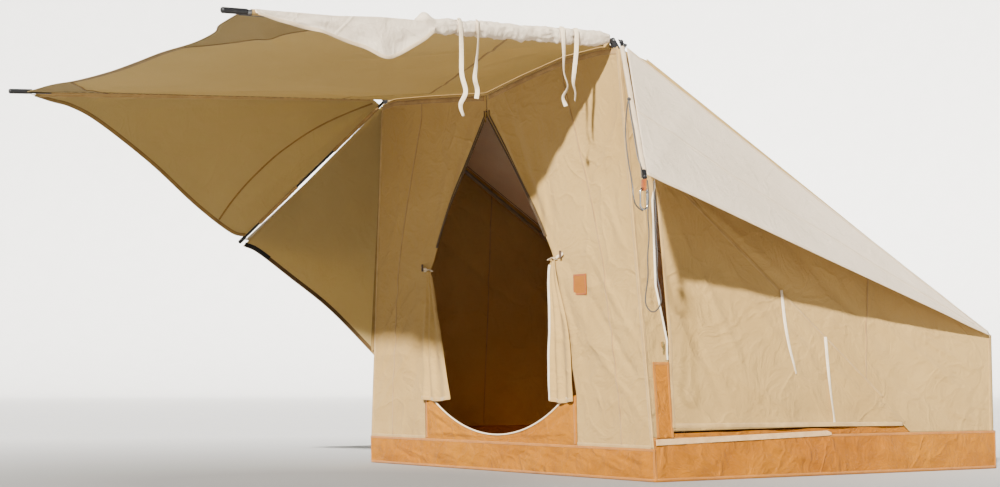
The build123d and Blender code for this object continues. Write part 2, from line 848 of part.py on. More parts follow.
def make_flap_ties():
    """Two tapes that hold the side flap when it is rolled up."""
    runs = (((867, 920), (925, 503)), ((1145, 690), (1165, 262)))
    tapes = []
    for (y_top, z_top), (y_low, z_low) in runs:
        top = side_point(y_top, z_top, 1, lift)
        low = side_point(y_low, z_low, 1, lift)
        tapes.append(strap(top, low, Vector(0, 1, 0)))
    save_group(tapes, "side_flap_ties")


def make_door_ties():
    """Bands that gather the door flaps, with a wooden toggle each."""
    with BuildPart() as bands:
        for side in (-1, 1):
            tie = door_centre + side * tie_reach
            with BuildSketch(front_plane.offset(lift / 2)):
                with Locations((tie + side * 34, tie_height + 22)):
                    Rectangle(64, 16, rotation=side * 12)
            extrude(amount=tape_thick)
    save(bands.part, "door_ties")
    with BuildPart() as toggles:
        for side in (-1, 1):
            spot = door_centre + side * (tie_reach + 60)
            centre = front_point(spot, tie_height + 30, lift + toggle_od * 2 / 3)
            with BuildSketch(Plane(origin=centre - Z_AXIS * toggle_length / 2, z_dir=Z_AXIS)):
                Circle(toggle_od / 2)
            extrude(amount=toggle_length)
        fillet(toggles.edges(), radius=2)
    save(toggles.part, "door_toggles")


def make_zip_sliders():
    """Sliders with long pulls at the top of the door and on the side flap's open zip."""
    slider_out = lift / 2 + 2
    with BuildPart() as slider:
        with BuildSketch(front_plane.offset(2.2)):
            with Locations((door_centre, slit_top + 8)):
                RectangleRounded(slider_width, slider_length, 3)
        extrude(amount=6)
        with BuildSketch(front_plane.offset(8.2)):
            with Locations((door_centre, slit_top - 12)):
                RectangleRounded(pull_width, pull_length, 2)
        extrude(amount=2)
    save(slider.part, "door_zip_slider")
    foot = side_point(strip_edge - 1, 640, 1, slider_out)
    face = Plane(origin=foot, x_dir=(0, 1, 0), z_dir=(1, 0, 0))
    with BuildPart() as side_slider:
        with BuildSketch(face.offset(-3)):
            RectangleRounded(slider_width, slider_length, 3)
        extrude(amount=6)
        with BuildSketch(face.offset(3)):
            with Locations((0, -20)):
                RectangleRounded(pull_width, pull_length, 2)
        extrude(amount=2)
    save(side_slider.part, "side_zip_slider")


# ---------------------------------------------------------------- guy ropes and their fittings
tab_top = right_tip + Vector(8, -14, -6)
tab_low = tab_top + Vector(0, 0, -52)
clip_top = tab_low + Vector(0, 0, 2.5)
clip_centre = clip_top + Vector(0, 0, -clip_length / 2 + 14)
knot_spot = between(strut_root, right_tip, 0.45) + Vector(10, -22, 0)


def make_tab():
    """Orange webbing tab at the wing tip, with an eyelet for the snap hook."""
    centre = between(tab_top, tab_low, 0.5)
    with BuildPart() as tab:
        with BuildSketch(Plane(origin=centre, x_dir=X_AXIS, z_dir=(0, -1, 0))):
            RectangleRounded(40, 52, 6)
            with Locations((0, -10)):
                Circle(clip_wire, mode=Mode.SUBTRACT)
        extrude(amount=1.5, both=True)
    save(tab.part, "wing_tab")


def make_clip():
    """Snap hook with a sprung gate along its front side."""
    half = clip_width / 2 - clip_wire / 2
    tall = clip_length / 2 - clip_wire / 2
    outline = ((-half, gate_low), (-half, -tall), (half, -tall), (half, tall), (-half, tall), (-half, gate_high))
    points = [clip_centre + Vector(0, y, z) for y, z in outline]
    with BuildPart() as clip:
        with BuildLine():
            FilletPolyline(*points, radius=half - 1)
        with BuildSketch(Plane(origin=points[0], z_dir=-Z_AXIS)):
            Circle(clip_wire / 2)
        sweep()
    save(clip.part, "snap_hook")
    with BuildPart() as gate:
        with BuildSketch(Plane(origin=points[0] + Z_AXIS * gate_gap)):
            Circle(clip_wire / 2 - 0.5)
        extrude(amount=gate_high - gate_low - 1.5 * gate_gap)
    save(gate.part, "snap_hook_gate")


def cord_radii(points, least):
    """Largest arc that the two runs at each corner allow."""
    radii = []
    for index in range(1, len(points) - 1):
        before = points[index] - points[index - 1]
        after = points[index + 1] - points[index]
        turn = before.get_angle(after)
        shorter = min(before.length, after.length)
        radii.append(0.45 * shorter / tan(radians(turn / 2)))
    print("arc radii", [round(radius, 1) for radius in radii], "least allowed", least)
    return radii


def make_cord(name, points, diameter=rope):
    """Rope along straight runs joined by tangent arcs."""
    radii = cord_radii(points, 3 * diameter)
    with BuildPart() as cord:
        with BuildLine() as path:
            FilletPolyline(*points, radius=radii)
        with BuildSketch(Plane(origin=path.line @ 0, z_dir=path.line % 0)):
            Circle(diameter / 2)
        sweep()
    length = sum(edge.length for edge in path.edges())
    area = pi * diameter**2 / 4
    print(name, "length", round(length, 1), "volume share", round(cord.part.volume / (length * area), 4))
    save(cord.part, name)


def beside_strut(share):
    return between(strut_root, right_tip, share)


def make_ropes():
    """Short rope to the tab, long rope to the snap hook and the hank that hangs from the wing tip."""
    start = knot_spot
    hook_low = clip_centre + Vector(0, 0, -clip_length / 2 - rope / 2)
    with BuildPart() as knot:
        with Locations(start):
            Sphere(9)
    save(knot.part, "rope_knot")
    make_cord("guy_rope_short", [
        start + Vector(5, -4, -9),
        beside_strut(0.53) + Vector(18, -36, 0),
        beside_strut(0.64) + Vector(30, -44, 0),
        beside_strut(0.76) + Vector(26, -42, 0),
        beside_strut(0.88) + Vector(20, -38, 0),
        tab_top + Vector(4, -16, 60),
        tab_top + Vector(0, -10, 3.5),
    ])
    make_cord("guy_rope_long", [
        start + Vector(-4, -2, -9),
        start + Vector(-10, -18, -110),
        between(start, hook_low, 0.52) + Vector(-24, -34, 0),
        between(start, hook_low, 0.8) + Vector(-14, -32, 0),
        hook_low + Vector(-12, -50, 66),
        hook_low + Vector(-8, -36, 12),
        hook_low + Vector(0, -4, -0.5),
    ])
    hank_top = tab_top + Vector(12, 10, -4)
    make_cord("guy_rope_hank", [
        hank_top,
        hank_top + Vector(4, 8, -60),
        hank_top + Vector(-2, 2, -150),
        hank_top + Vector(4, 8, -240),
        hank_top + Vector(-2, 0, -330),
        hank_top + Vector(0, 4, -420),
        hank_top + Vector(-8, -8, -500),
        hank_top + Vector(-6, -8, -548),
        hank_top + Vector(12, 18, -580),
        hank_top + Vector(32, 44, -548),
        hank_top + Vector(34, 46, -500),
        hank_top + Vector(20, 30, -410),
        hank_top + Vector(24, 36, -320),
        hank_top + Vector(18, 28, -230),
        hank_top + Vector(20, 32, -140),
        hank_top + Vector(14, 24, -60),
        hank_top + Vector(14, 26, -4),
    ])


make_floor()
make_skirts()
make_door_sill()
make_front_walls()
make_door_tails()
make_side_walls()
make_rear_wall()
make_roof()
make_wings()
make_windbreak()
make_canopy_side()
make_canopy()
make_front_hub()
make_rear_hub()
make_front_legs()
make_spring_buttons()
make_roof_frame()
make_feet()
make_canopy_arms()
make_hinge_pins()
make_wing_struts()
make_patches()
make_roll()
make_flap_ties()
make_door_ties()
make_zip_sliders()
make_tab()
make_clip()
make_ropes()
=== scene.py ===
"""Looks of the frame tent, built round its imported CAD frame. Metres, +Z up, +Y to the low rear wall."""
import bpy
import json
import math
import numpy as np
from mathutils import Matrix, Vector


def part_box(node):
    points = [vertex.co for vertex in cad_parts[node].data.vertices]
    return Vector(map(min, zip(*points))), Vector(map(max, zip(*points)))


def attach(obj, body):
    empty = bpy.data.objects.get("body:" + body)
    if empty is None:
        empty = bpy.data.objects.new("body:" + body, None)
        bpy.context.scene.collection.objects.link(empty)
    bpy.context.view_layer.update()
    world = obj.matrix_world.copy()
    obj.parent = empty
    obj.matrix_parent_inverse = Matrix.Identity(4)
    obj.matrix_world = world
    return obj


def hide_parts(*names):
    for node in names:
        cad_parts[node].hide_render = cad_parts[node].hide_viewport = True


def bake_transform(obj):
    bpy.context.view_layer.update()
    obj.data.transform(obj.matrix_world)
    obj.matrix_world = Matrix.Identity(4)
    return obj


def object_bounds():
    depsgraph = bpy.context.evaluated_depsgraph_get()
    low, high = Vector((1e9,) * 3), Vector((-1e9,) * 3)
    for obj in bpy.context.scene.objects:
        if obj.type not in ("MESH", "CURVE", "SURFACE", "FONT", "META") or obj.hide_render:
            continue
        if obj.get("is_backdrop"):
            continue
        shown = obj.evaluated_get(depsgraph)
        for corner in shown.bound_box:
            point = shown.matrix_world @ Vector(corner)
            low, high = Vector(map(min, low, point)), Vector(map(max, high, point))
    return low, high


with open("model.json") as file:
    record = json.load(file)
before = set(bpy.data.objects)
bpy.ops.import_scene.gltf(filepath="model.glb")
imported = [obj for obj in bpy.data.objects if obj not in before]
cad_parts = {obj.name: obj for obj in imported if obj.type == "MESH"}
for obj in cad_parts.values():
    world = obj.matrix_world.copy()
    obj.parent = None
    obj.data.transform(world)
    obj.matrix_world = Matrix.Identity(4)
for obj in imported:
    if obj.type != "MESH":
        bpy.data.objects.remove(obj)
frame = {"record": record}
cad_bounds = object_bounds()

# ---------------------------------------------------------------- places taken from the frame
JOINTS = {joint["name"]: joint for joint in frame["record"]["behaviour"]["joints"]}
FLOOR_LOW, FLOOR_HIGH = (np.array(corner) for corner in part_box("groundsheet_floor"))
HALF = FLOOR_HIGH[0]
FRONT, REAR = FLOOR_LOW[1], FLOOR_HIGH[1]
DEPTH = REAR - FRONT
MIRROR = np.array((-1.0, 1.0, 1.0))
RIDGE = np.array(JOINTS["wing_swing"]["pos_m"])
EDGE_LINE = np.array(JOINTS["wing_swing"]["axis"])
HINGE = np.array(JOINTS["canopy_tilt"]["pos_m"])
HEIGHT = RIDGE[2]
LEAN = FRONT - RIDGE[1]
INSET = HALF - RIDGE[0]
REAR_TOP = RIDGE + EDGE_LINE * (REAR - RIDGE[1]) / EDGE_LINE[1]
TIP_LOW, TIP_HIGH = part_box("canopy_tips")
CANOPY_CORNER = RIDGE + np.array((0.144, -2.159, -0.142))
RIGHT_TIP = RIDGE + np.array((0.650, -0.375, -0.754))
LEFT_TIP = RIDGE * MIRROR + np.array((-0.584, -0.616, -0.829))
STRUT_ROOT = RIDGE + EDGE_LINE * 0.022
X, Y, Z = np.eye(3)

FRONT_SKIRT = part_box("skirt_front")[1][2]
SIDE_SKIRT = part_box("skirt_right")[1][2]
SILL_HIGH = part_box("door_sill")[1]
DOOR_X = -0.030
TIE_X = 0.578
TIE_Z = 1.065
DOOR_TOP = 1.985
SLIT_TOP = 1.866
NOTCH_HALF = 0.605
NOTCH_LOW = 0.190
FLAP_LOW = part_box("side_flap")[0]
CLOTH = 0.0014


# ---------------------------------------------------------------- shape helpers
def rows(*values):
    return np.array(values, dtype=float)


def mix(a, b, share):
    """Straight blend of two places, or of two arrays of places, by share from 0 to 1."""
    return a + (b - a) * share


def unit(vectors):
    length = np.linalg.norm(vectors, axis=-1, keepdims=True)
    return vectors / np.maximum(length, 1e-9)


def soft_noise(x, y, seed):
    """Smooth noise from -1 to 1, one cell to the unit, the same on every run."""
    table = np.random.default_rng(seed).uniform(-1, 1, (64, 64))
    ix, iy = np.floor(x).astype(int), np.floor(y).astype(int)
    fx, fy = x - ix, y - iy
    fx, fy = fx * fx * (3 - 2 * fx), fy * fy * (3 - 2 * fy)
    corner = lambda a, b: table[(ix + a) % 64, (iy + b) % 64]
    low = corner(0, 0) * (1 - fx) + corner(1, 0) * fx
    high = corner(0, 1) * (1 - fx) + corner(1, 1) * fx
    return low * (1 - fy) + high * fy


def crease(p, a, b, width, depth):
    """A tension fold along the line a to b, that fades towards both ends."""
    a, b = np.asarray(a, float), np.asarray(b, float)
    run = b - a
    share = np.clip(((p - a) @ run) / (run @ run), 0, 1)
    gap = np.linalg.norm(p - (a + share[..., None] * run), axis=-1)
    fade = np.sin(np.pi * np.clip(share * 0.94 + 0.03, 0, 1)) ** 0.6
    return depth * np.exp(-((gap / width) ** 2)) * fade


def creased(push, p, folds):
    """Adds folds, each given as (from, to, width, depth)."""
    for fold in folds:
        push = push + crease(p, *fold)
    return push


def hanging(u, v, seed, depth=0.006, across=3.0, along=1.2):
    """Slack of cloth that hangs between its seams."""
    edge = (4 * u * (1 - u)) ** 0.5 * (4 * v * (1 - v)) ** 0.5
    slow = soft_noise(u * across, v * along, seed)
    fine = soft_noise(u * across * 4, v * along * 5, seed + 1)
    return depth * edge * (slow + 0.28 * fine)


class Cloth:
    """A sheet on a grid: places from surface(u, v), moved along its normal by relief(place, u, v)."""

    def __init__(self, surface, relief=None, across=80, along=80, out=None):
        u, v = np.meshgrid(np.linspace(0, 1, across + 1), np.linspace(0, 1, along + 1), indexing="ij")
        self.places = surface(u[..., None], v[..., None])
        self.out = None if out is None else np.asarray(out, float)
        if relief is not None:
            self.places = self.places + self.normals() * relief(self.places, u, v)[..., None]
        self.facing = self.normals()
        self.widths = self.run_lengths(0)
        self.lengths = self.run_lengths(1)

    def normals(self):
        along_u = np.gradient(self.places, axis=0)
        along_v = np.gradient(self.places, axis=1)
        facing = np.cross(along_u, along_v)
        weak = np.linalg.norm(facing, axis=-1) < 1e-10
        facing = unit(facing)
        middle = facing[facing.shape[0] // 2, facing.shape[1] // 2]
        facing[weak] = middle
        if self.out is not None and middle @ self.out < 0:
            facing = -facing
        return facing

    def run_lengths(self, axis):
        steps = np.linalg.norm(np.diff(self.places, axis=axis), axis=-1)
        summed = np.cumsum(steps, axis=axis)
        pad = [(1, 0) if axis == 0 else (0, 0), (1, 0) if axis == 1 else (0, 0)]
        return np.pad(summed, pad)

    def at(self, u, v):
        """Places and facing directions at the given shares of the sheet."""
        u, v = np.broadcast_arrays(np.asarray(u, float), np.asarray(v, float))
        cells = np.array(self.places.shape[:2]) - 1
        iu = np.clip((u * cells[0]).astype(int), 0, cells[0] - 1)
        iv = np.clip((v * cells[1]).astype(int), 0, cells[1] - 1)
        fu, fv = (u * cells[0] - iu)[..., None], (v * cells[1] - iv)[..., None]

        def read(grid):
            low = mix(grid[iu, iv], grid[iu + 1, iv], fu)
            high = mix(grid[iu, iv + 1], grid[iu + 1, iv + 1], fu)
            return mix(low, high, fv)

        return read(self.places), unit(read(self.facing))

    def build(self, name, material, slot, body, thickness=CLOTH):
        """Closed thin shell of the sheet, with its cut-out size in metres as UVs."""
        shape = self.places.shape[:2]
        half = self.facing * thickness / 2
        front = (self.places + half).reshape(-1, 3)
        back = (self.places - half).reshape(-1, 3)
        index = np.arange(shape[0] * shape[1]).reshape(shape)
        quads = np.stack((index[:-1, :-1], index[1:, :-1], index[1:, 1:], index[:-1, 1:]), -1).reshape(-1, 4)
        rim = np.concatenate((index[:, 0], index[-1, 1:], index[-2::-1, -1], index[0, -2::-1]))
        count = len(front)
        sides = np.stack((rim[:-1], rim[1:], rim[1:] + count, rim[:-1] + count), -1)
        middle = (shape[0] // 2, shape[1] // 2)
        sample = np.cross(
            self.places[middle[0] + 1, middle[1]] - self.places[middle],
            self.places[middle[0], middle[1] + 1] - self.places[middle],
        )
        if sample @ self.facing[middle] > 0:
            faces = np.concatenate((quads, quads[:, ::-1] + count, sides[:, ::-1]))
        else:
            faces = np.concatenate((quads[:, ::-1], quads + count, sides))
        flat = np.stack((self.widths, self.lengths), -1).reshape(-1, 2)
        uvs = np.concatenate((flat, flat))
        return mesh_piece(name, np.concatenate((front, back)), faces, uvs, material, body)


def mesh_piece(name, places, faces, uvs, material, body, smooth=True):
    """Mesh object from arrays, riding on a body. With no body it is left unparented."""
    mesh = bpy.data.meshes.new(name)
    mesh.from_pydata(np.asarray(places).tolist(), [], [list(map(int, face)) for face in faces])
    if uvs is not None:
        layer = mesh.uv_layers.new(name="UVMap")
        corners = np.empty(len(mesh.loops), dtype=np.int32)
        mesh.loops.foreach_get("vertex_index", corners)
        layer.data.foreach_set("uv", np.asarray(uvs, dtype=np.float32)[corners].ravel())
    if smooth:
        mesh.polygons.foreach_set("use_smooth", np.ones(len(mesh.polygons), dtype=bool))
    mesh.materials.append(material)
    mesh.validate()
    mesh.update()
    piece = bpy.data.objects.new(name, mesh)
    bpy.context.scene.collection.objects.link(piece)
    if body is not None:
        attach(piece, body)
    return piece


def profile_run(name, path, facing, profile, material, body, closed_ends=True):
    """Closed cross-section carried along a path. The profile's points are (across, out) from the path."""
    path, facing = np.asarray(path, float), unit(np.asarray(facing, float))
    if facing.ndim == 1:
        facing = np.broadcast_to(facing, path.shape)
    tangent = unit(np.gradient(path, axis=0))
    side = unit(np.cross(facing, tangent))
    out = np.cross(tangent, side)
    profile = np.asarray(profile, float)
    rings = path[:, None] + side[:, None] * profile[None, :, :1] + out[:, None] * profile[None, :, 1:]
    count, ring = rings.shape[:2]
    travelled = np.concatenate(((0,), np.cumsum(np.linalg.norm(np.diff(path, axis=0), axis=-1))))
    across = profile[:, 0]
    across = (across - across.min()) / max(np.ptp(across), 1e-6)
    uvs = np.stack(np.broadcast_arrays(travelled[:, None], across[None, :]), -1).reshape(-1, 2)
    index = np.arange(count * ring).reshape(count, ring)
    following = np.roll(index, -1, axis=1)
    faces = np.stack((index[:-1], following[:-1], following[1:], index[1:]), -1).reshape(-1, 4).tolist()
    if closed_ends:
        faces.append(index[0, ::-1].tolist())
        faces.append(index[-1].tolist())
    return mesh_piece(name, rings.reshape(-1, 3), faces, uvs, material, body)


def flat_profile(width, thickness):
    """Flat band with softened edges."""
    w, t = width / 2, thickness / 2
    soft = min(t, w * 0.4)
    return rows(
        (-w + soft, -t), (0, -t), (w - soft, -t), (w, -t * 0.3), (w, t * 0.3),
        (w - soft, t), (0, t), (-w + soft, t), (-w, t * 0.3), (-w, -t * 0.3),
    )


def round_profile(radius, sides=10):
    angles = np.linspace(0, 2 * np.pi, sides, endpoint=False)
    return np.stack((np.cos(angles), np.sin(angles)), -1) * radius


def band(name, cloth, u, v, width, material, slot="canvas", body="root", thickness=0.0032, lift=0.0008):
    """Hem, seam or tape sewn on a cloth along a line of shares."""
    places, facing = cloth.at(u, v)
    profile = flat_profile(width, thickness)
    return profile_run(name, places + facing * lift, facing, profile, material, body)


def cord_tube(name, path, radius, material, body, sides=10):
    """Round cord or piping along sampled places."""
    path = np.asarray(path, float)
    start = unit(path[1] - path[0])
    helper = Z if abs(start @ Z) < 0.9 else X
    facing = [unit(np.cross(np.cross(start, helper), start))]
    tangents = unit(np.gradient(path, axis=0))
    for tangent in tangents[1:]:
        carried = facing[-1] - tangent * (facing[-1] @ tangent)
        facing.append(unit(carried))
    return profile_run(name, path, np.array(facing), round_profile(radius, sides), material, body)


def smooth_line(points, count):
    """Catmull-Rom line through given points."""
    points = [np.asarray(point, float) for point in points]
    points = [2 * points[0] - points[1]] + points + [2 * points[-1] - points[-2]]
    out = []
    spans = len(points) - 3
    for step in np.linspace(0, spans, count):
        index = min(int(step), spans - 1)
        t = step - index
        a, b, c, d = points[index : index + 4]
        out.append(
            0.5 * (2 * b + (c - a) * t + (2 * a - 5 * b + 4 * c - d) * t**2 + (3 * b - a - 3 * c + d) * t**3)
        )
    return np.array(out)


# ---------------------------------------------------------------- materials
def srgb(red, green, blue):
    """Linear colour from the 0 to 255 values of a colour picker."""
    def linear(value):
        value = value / 255
        return value / 12.92 if value <= 0.04045 else ((value + 0.055) / 1.055) ** 2.4
    return (linear(red), linear(green), linear(blue), 1.0)


class Nodes:
    """Short way to write a material's node tree."""

    def __init__(self, name):
        self.material = bpy.data.materials.new(name)
        self.material.use_nodes = True
        self.tree = self.material.node_tree
        self.tree.nodes.clear()
        self.output = self.tree.nodes.new("ShaderNodeOutputMaterial")

    def add(self, kind, settings=None, **inputs):
        node = self.tree.nodes.new("ShaderNode" + kind)
        for key, value in (settings or {}).items():
            setattr(node, key, value)
        for key, value in inputs.items():
            socket = node.inputs[int(key[1:])] if key[0] == "_" else node.inputs[key.replace("_", " ")]
            if isinstance(value, bpy.types.NodeSocket):
                self.tree.links.new(value, socket)
            else:
                socket.default_value = value
        return node

    def math(self, operation, first, second=0.0, third=0.0):
        return self.add("Math", {"operation": operation}, _0=first, _1=second, _2=third).outputs[0]

    def mix(self, share, first, second):
        node = self.add("Mix", {"data_type": "RGBA"}, _0=share, _6=first, _7=second)
        return node.outputs[2]

    def ramp(self, value, low, high):
        node = self.add("MapRange", None, _0=value, _1=low, _2=high)
        node.clamp = True
        return node.outputs[0]

    def noise(self, vector, scale, detail=4.0, rough=0.55):
        return self.add("TexNoise", None, Vector=vector, Scale=scale, Detail=detail, Roughness=rough).outputs["Fac"]

    def object_place(self):
        return self.add("TexCoord").outputs["Object"]

    def uv(self):
        return self.add("TexCoord").outputs["UV"]

    def split(self, vector):
        return self.add("SeparateXYZ", None, Vector=vector).outputs

    def finish(self, shader):
        self.tree.links.new(shader, self.output.inputs["Surface"])
        return self.material


def threads(nodes, pitch):
    """Height of a plain weave, thread by thread, from the cloth's own size."""
    u, v, _ = nodes.split(nodes.uv())
    turns = 2 * math.pi / pitch
    across = nodes.math("SINE", nodes.math("MULTIPLY", u, turns))
    along = nodes.math("SINE", nodes.math("MULTIPLY", v, turns))
    return nodes.math("MULTIPLY", across, along)


def cloth_material(name, colour, shade, dirt_and_crease_shade, glow, glow_colour, rough=0.9, sheen=0.06, weave=0.0016,
                   crumple=0.35, creases=0.5):
    """Woven canvas or coated cloth: thread weave, folds from packing with painted shade darkening the fold lines,
    mottling and dust near the ground.
    """
    n = Nodes(name)
    place = n.object_place()
    uv = n.uv()
    broad = n.noise(place, 1.3, 3.0)
    middle = n.noise(place, 9.0, 5.0, 0.6)
    fine = n.noise(place, 140.0, 3.0, 0.7)
    base = n.mix(n.ramp(broad, 0.35, 0.68), colour, shade)
    base = n.mix(n.math("MULTIPLY", n.ramp(middle, 0.45, 0.8), 0.35), base, shade)
    slub = n.add("Mapping", None, Vector=uv, Scale=(40.0, 900.0, 1.0))
    slubs = n.noise(slub.outputs[0], 1.0, 2.0)
    base = n.mix(n.math("MULTIPLY", n.ramp(slubs, 0.5, 0.9), 0.16), base, shade)
    height = n.split(place)[2]
    low = n.math("MULTIPLY", n.ramp(height, 0.5, 0.0), n.ramp(middle, 0.3, 0.75))
    base = n.mix(n.math("MULTIPLY", low, 0.5), base, dirt_and_crease_shade)
    u, v, _ = n.split(uv)
    folds = None
    for value, pitch in ((u, 0.62), (v, 0.47)):
        wave = n.math("PINGPONG", value, pitch / 2)
        line = n.ramp(wave, 0.012, 0.0)
        folds = line if folds is None else n.math("MAXIMUM", folds, line)
    folds = n.math("MULTIPLY", folds, n.ramp(n.noise(place, 2.4, 2.0), 0.42, 0.7))
    # painted shade: the packing fold lines are darkened towards the dirt colour
    base = n.mix(n.math("MULTIPLY", folds, 0.10 * creases), base, dirt_and_crease_shade)
    wrinkle = n.add("TexNoise", {"noise_dimensions": "3D"}, Vector=place, Scale=6.0, Detail=5.0, Roughness=0.62,
                    Distortion=1.4).outputs["Fac"]
    lines = n.add("TexNoise", {"noise_dimensions": "3D"}, Vector=place, Scale=3.2, Detail=2.5, Roughness=0.5,
                  Distortion=0.8).outputs["Fac"]
    sharp = n.ramp(n.math("ABSOLUTE", n.math("SUBTRACT", lines, 0.5)), 0.05, 0.0)
    bump = n.add("Bump", None, Strength=crumple, Distance=0.022, Height=wrinkle)
    bump = n.add("Bump", None, Strength=crumple, Distance=0.004, Height=sharp, Normal=bump.outputs[0])
    bump = n.add("Bump", None, Strength=creases, Distance=0.0025, Height=folds, Normal=bump.outputs[0])
    bump = n.add("Bump", None, Strength=0.45, Distance=0.0006, Height=threads(n, weave), Normal=bump.outputs[0])
    bump = n.add("Bump", None, Strength=0.2, Distance=0.0005, Height=fine, Normal=bump.outputs[0])
    roughness = n.add("MapRange", None, _0=middle, _1=0.3, _2=0.8, _3=rough - 0.06, _4=rough + 0.05).outputs[0]
    surface = n.add("BsdfPrincipled", None, Base_Color=base, Roughness=roughness, Normal=bump.outputs[0],
                    Sheen_Weight=sheen, Sheen_Roughness=0.5, Specular_IOR_Level=0.25)
    if glow <= 0:
        return n.finish(surface.outputs[0])
    through = n.add("BsdfTranslucent", None, Color=glow_colour, Normal=bump.outputs[0])
    both = n.add("MixShader", None, _0=glow, _1=surface.outputs[0], _2=through.outputs[0])
    return n.finish(both.outputs[0])


def stitched_material(name, colour, shade, thread, rows_at=(0.14, 0.86), rough=0.85, weave=0.0016, pitch=0.0065,
                      glow=0.0, glow_colour=None):
    """Sewn band: its UV is the length in metres and the share of its width, so the stitches keep their size."""
    n = Nodes(name)
    place = n.object_place()
    u, v, _ = n.split(n.uv())
    mottled = n.noise(place, 14.0, 5.0, 0.6)
    base = n.mix(n.ramp(mottled, 0.35, 0.75), colour, shade)
    dash = n.math("GREATER_THAN", n.math("FRACT", n.math("DIVIDE", u, pitch)), 0.32)
    stitch = None
    for row in rows_at:
        near = n.ramp(n.math("ABSOLUTE", n.math("SUBTRACT", v, row)), 0.05, 0.02)
        stitch = near if stitch is None else n.math("MAXIMUM", stitch, near)
    groove = stitch
    stitch = n.math("MULTIPLY", stitch, dash)
    # painted shade: the band is darkened in the grooves along the stitch rows
    base = n.mix(n.math("MULTIPLY", groove, 0.35), base, shade)
    base = n.mix(n.math("MULTIPLY", stitch, 0.85), base, thread)
    grain = n.math("SINE", n.math("MULTIPLY", u, 2 * math.pi / weave))
    bump = n.add("Bump", None, Strength=0.35, Distance=0.0006, Height=grain)
    pucker = n.noise(place, 60.0, 2.0)
    bump = n.add("Bump", None, Strength=0.3, Distance=0.002, Height=pucker, Normal=bump.outputs[0])
    bump = n.add("Bump", {"invert": True}, Strength=0.6, Distance=0.0012, Height=groove, Normal=bump.outputs[0])
    bump = n.add("Bump", None, Strength=0.6, Distance=0.001, Height=stitch, Normal=bump.outputs[0])
    surface = n.add("BsdfPrincipled", None, Base_Color=base, Roughness=rough, Normal=bump.outputs[0],
                    Sheen_Weight=0.2, Sheen_Roughness=0.5, Specular_IOR_Level=0.25)
    if glow <= 0:
        return n.finish(surface.outputs[0])
    through = n.add("BsdfTranslucent", None, Color=glow_colour, Normal=bump.outputs[0])
    both = n.add("MixShader", None, _0=glow, _1=surface.outputs[0], _2=through.outputs[0])
    return n.finish(both.outputs[0])


def hard_material(name, colour, worn, rough, metal=0.0, scratch=0.3, bump_scale=220.0, bump=0.12):
    """Moulded plastic, painted or bare metal, with rubbed patches and fine scratches."""
    n = Nodes(name)
    place = n.object_place()
    patch = n.noise(place, 34.0, 6.0, 0.65)
    stretched = n.add("Mapping", None, Vector=place, Scale=(900.0, 60.0, 90.0))
    scratches = n.ramp(n.noise(stretched.outputs[0], 1.0, 2.0), 0.66, 0.74)
    wear = n.math("MAXIMUM", n.math("MULTIPLY", scratches, scratch),
                  n.math("MULTIPLY", n.ramp(patch, 0.6, 0.78), 0.5))
    base = n.mix(wear, colour, worn)
    roughness = n.add("MapRange", None, _0=patch, _1=0.3, _2=0.75, _3=rough - 0.08, _4=rough + 0.1).outputs[0]
    relief = n.add("Bump", None, Strength=bump, Distance=0.0006, Height=n.noise(place, bump_scale, 3.0))
    surface = n.add("BsdfPrincipled", None, Base_Color=base, Roughness=roughness, Metallic=metal,
                    Normal=relief.outputs[0])
    return n.finish(surface.outputs[0])


def rope_material(name, colour, shade):
    """Braided cord: two crossing helical wales from the UV round and along it, with painted shade in the hollows
    between them.
    """
    n = Nodes(name)
    u, v, _ = n.split(n.uv())
    length = n.math("MULTIPLY", u, 2 * math.pi / 0.011)
    round_it = n.math("MULTIPLY", v, 2 * math.pi * 2)
    right = n.math("SINE", n.math("ADD", length, round_it))
    left = n.math("SINE", n.math("SUBTRACT", length, round_it))
    braid = n.math("MULTIPLY", right, left)
    # painted shade: the low parts of the braid take the darker colour
    base = n.mix(n.ramp(braid, -0.2, 0.6), shade, colour)
    relief = n.add("Bump", None, Strength=0.7, Distance=0.0012, Height=braid)
    surface = n.add("BsdfPrincipled", None, Base_Color=base, Roughness=0.82, Normal=relief.outputs[0],
                    Sheen_Weight=0.3)
    return n.finish(surface.outputs[0])


def wood_material(name):
    """Turned toggle wood, dark, with its grain along Z."""
    n = Nodes(name)
    grain = n.add("Mapping", None, Vector=n.object_place(), Scale=(260.0, 260.0, 22.0))
    rings = n.noise(grain.outputs[0], 1.0, 4.0)
    base = n.mix(n.ramp(rings, 0.35, 0.65), srgb(86, 58, 36), srgb(44, 28, 18))
    relief = n.add("Bump", None, Strength=0.3, Distance=0.0005, Height=rings)
    surface = n.add("BsdfPrincipled", None, Base_Color=base, Roughness=0.55, Normal=relief.outputs[0])
    return n.finish(surface.outputs[0])


def floor_material():
    """Pale studio floor with a painted shadow pool: darker grey round a spot in front of the door."""
    n = Nodes("pale_floor")
    tone = n.noise(n.object_place(), 1.5, 3.0)
    far = n.mix(n.ramp(tone, 0.3, 0.7), srgb(246, 246, 245), srgb(243, 243, 242))
    # painted shadow: grey pool centred in front of the door, fading to the pale tone by 7 m
    painted_shadow_centre = (0.3, -2.4, 0.0)
    reach = n.add("VectorMath", {"operation": "DISTANCE"}, _0=n.object_place(), _1=painted_shadow_centre).outputs["Value"]
    base = n.mix(n.ramp(reach, 0.8, 7.0), srgb(136, 136, 135), far)
    surface = n.add("BsdfPrincipled", None, Base_Color=base, Roughness=0.9)
    return n.finish(surface.outputs[0])


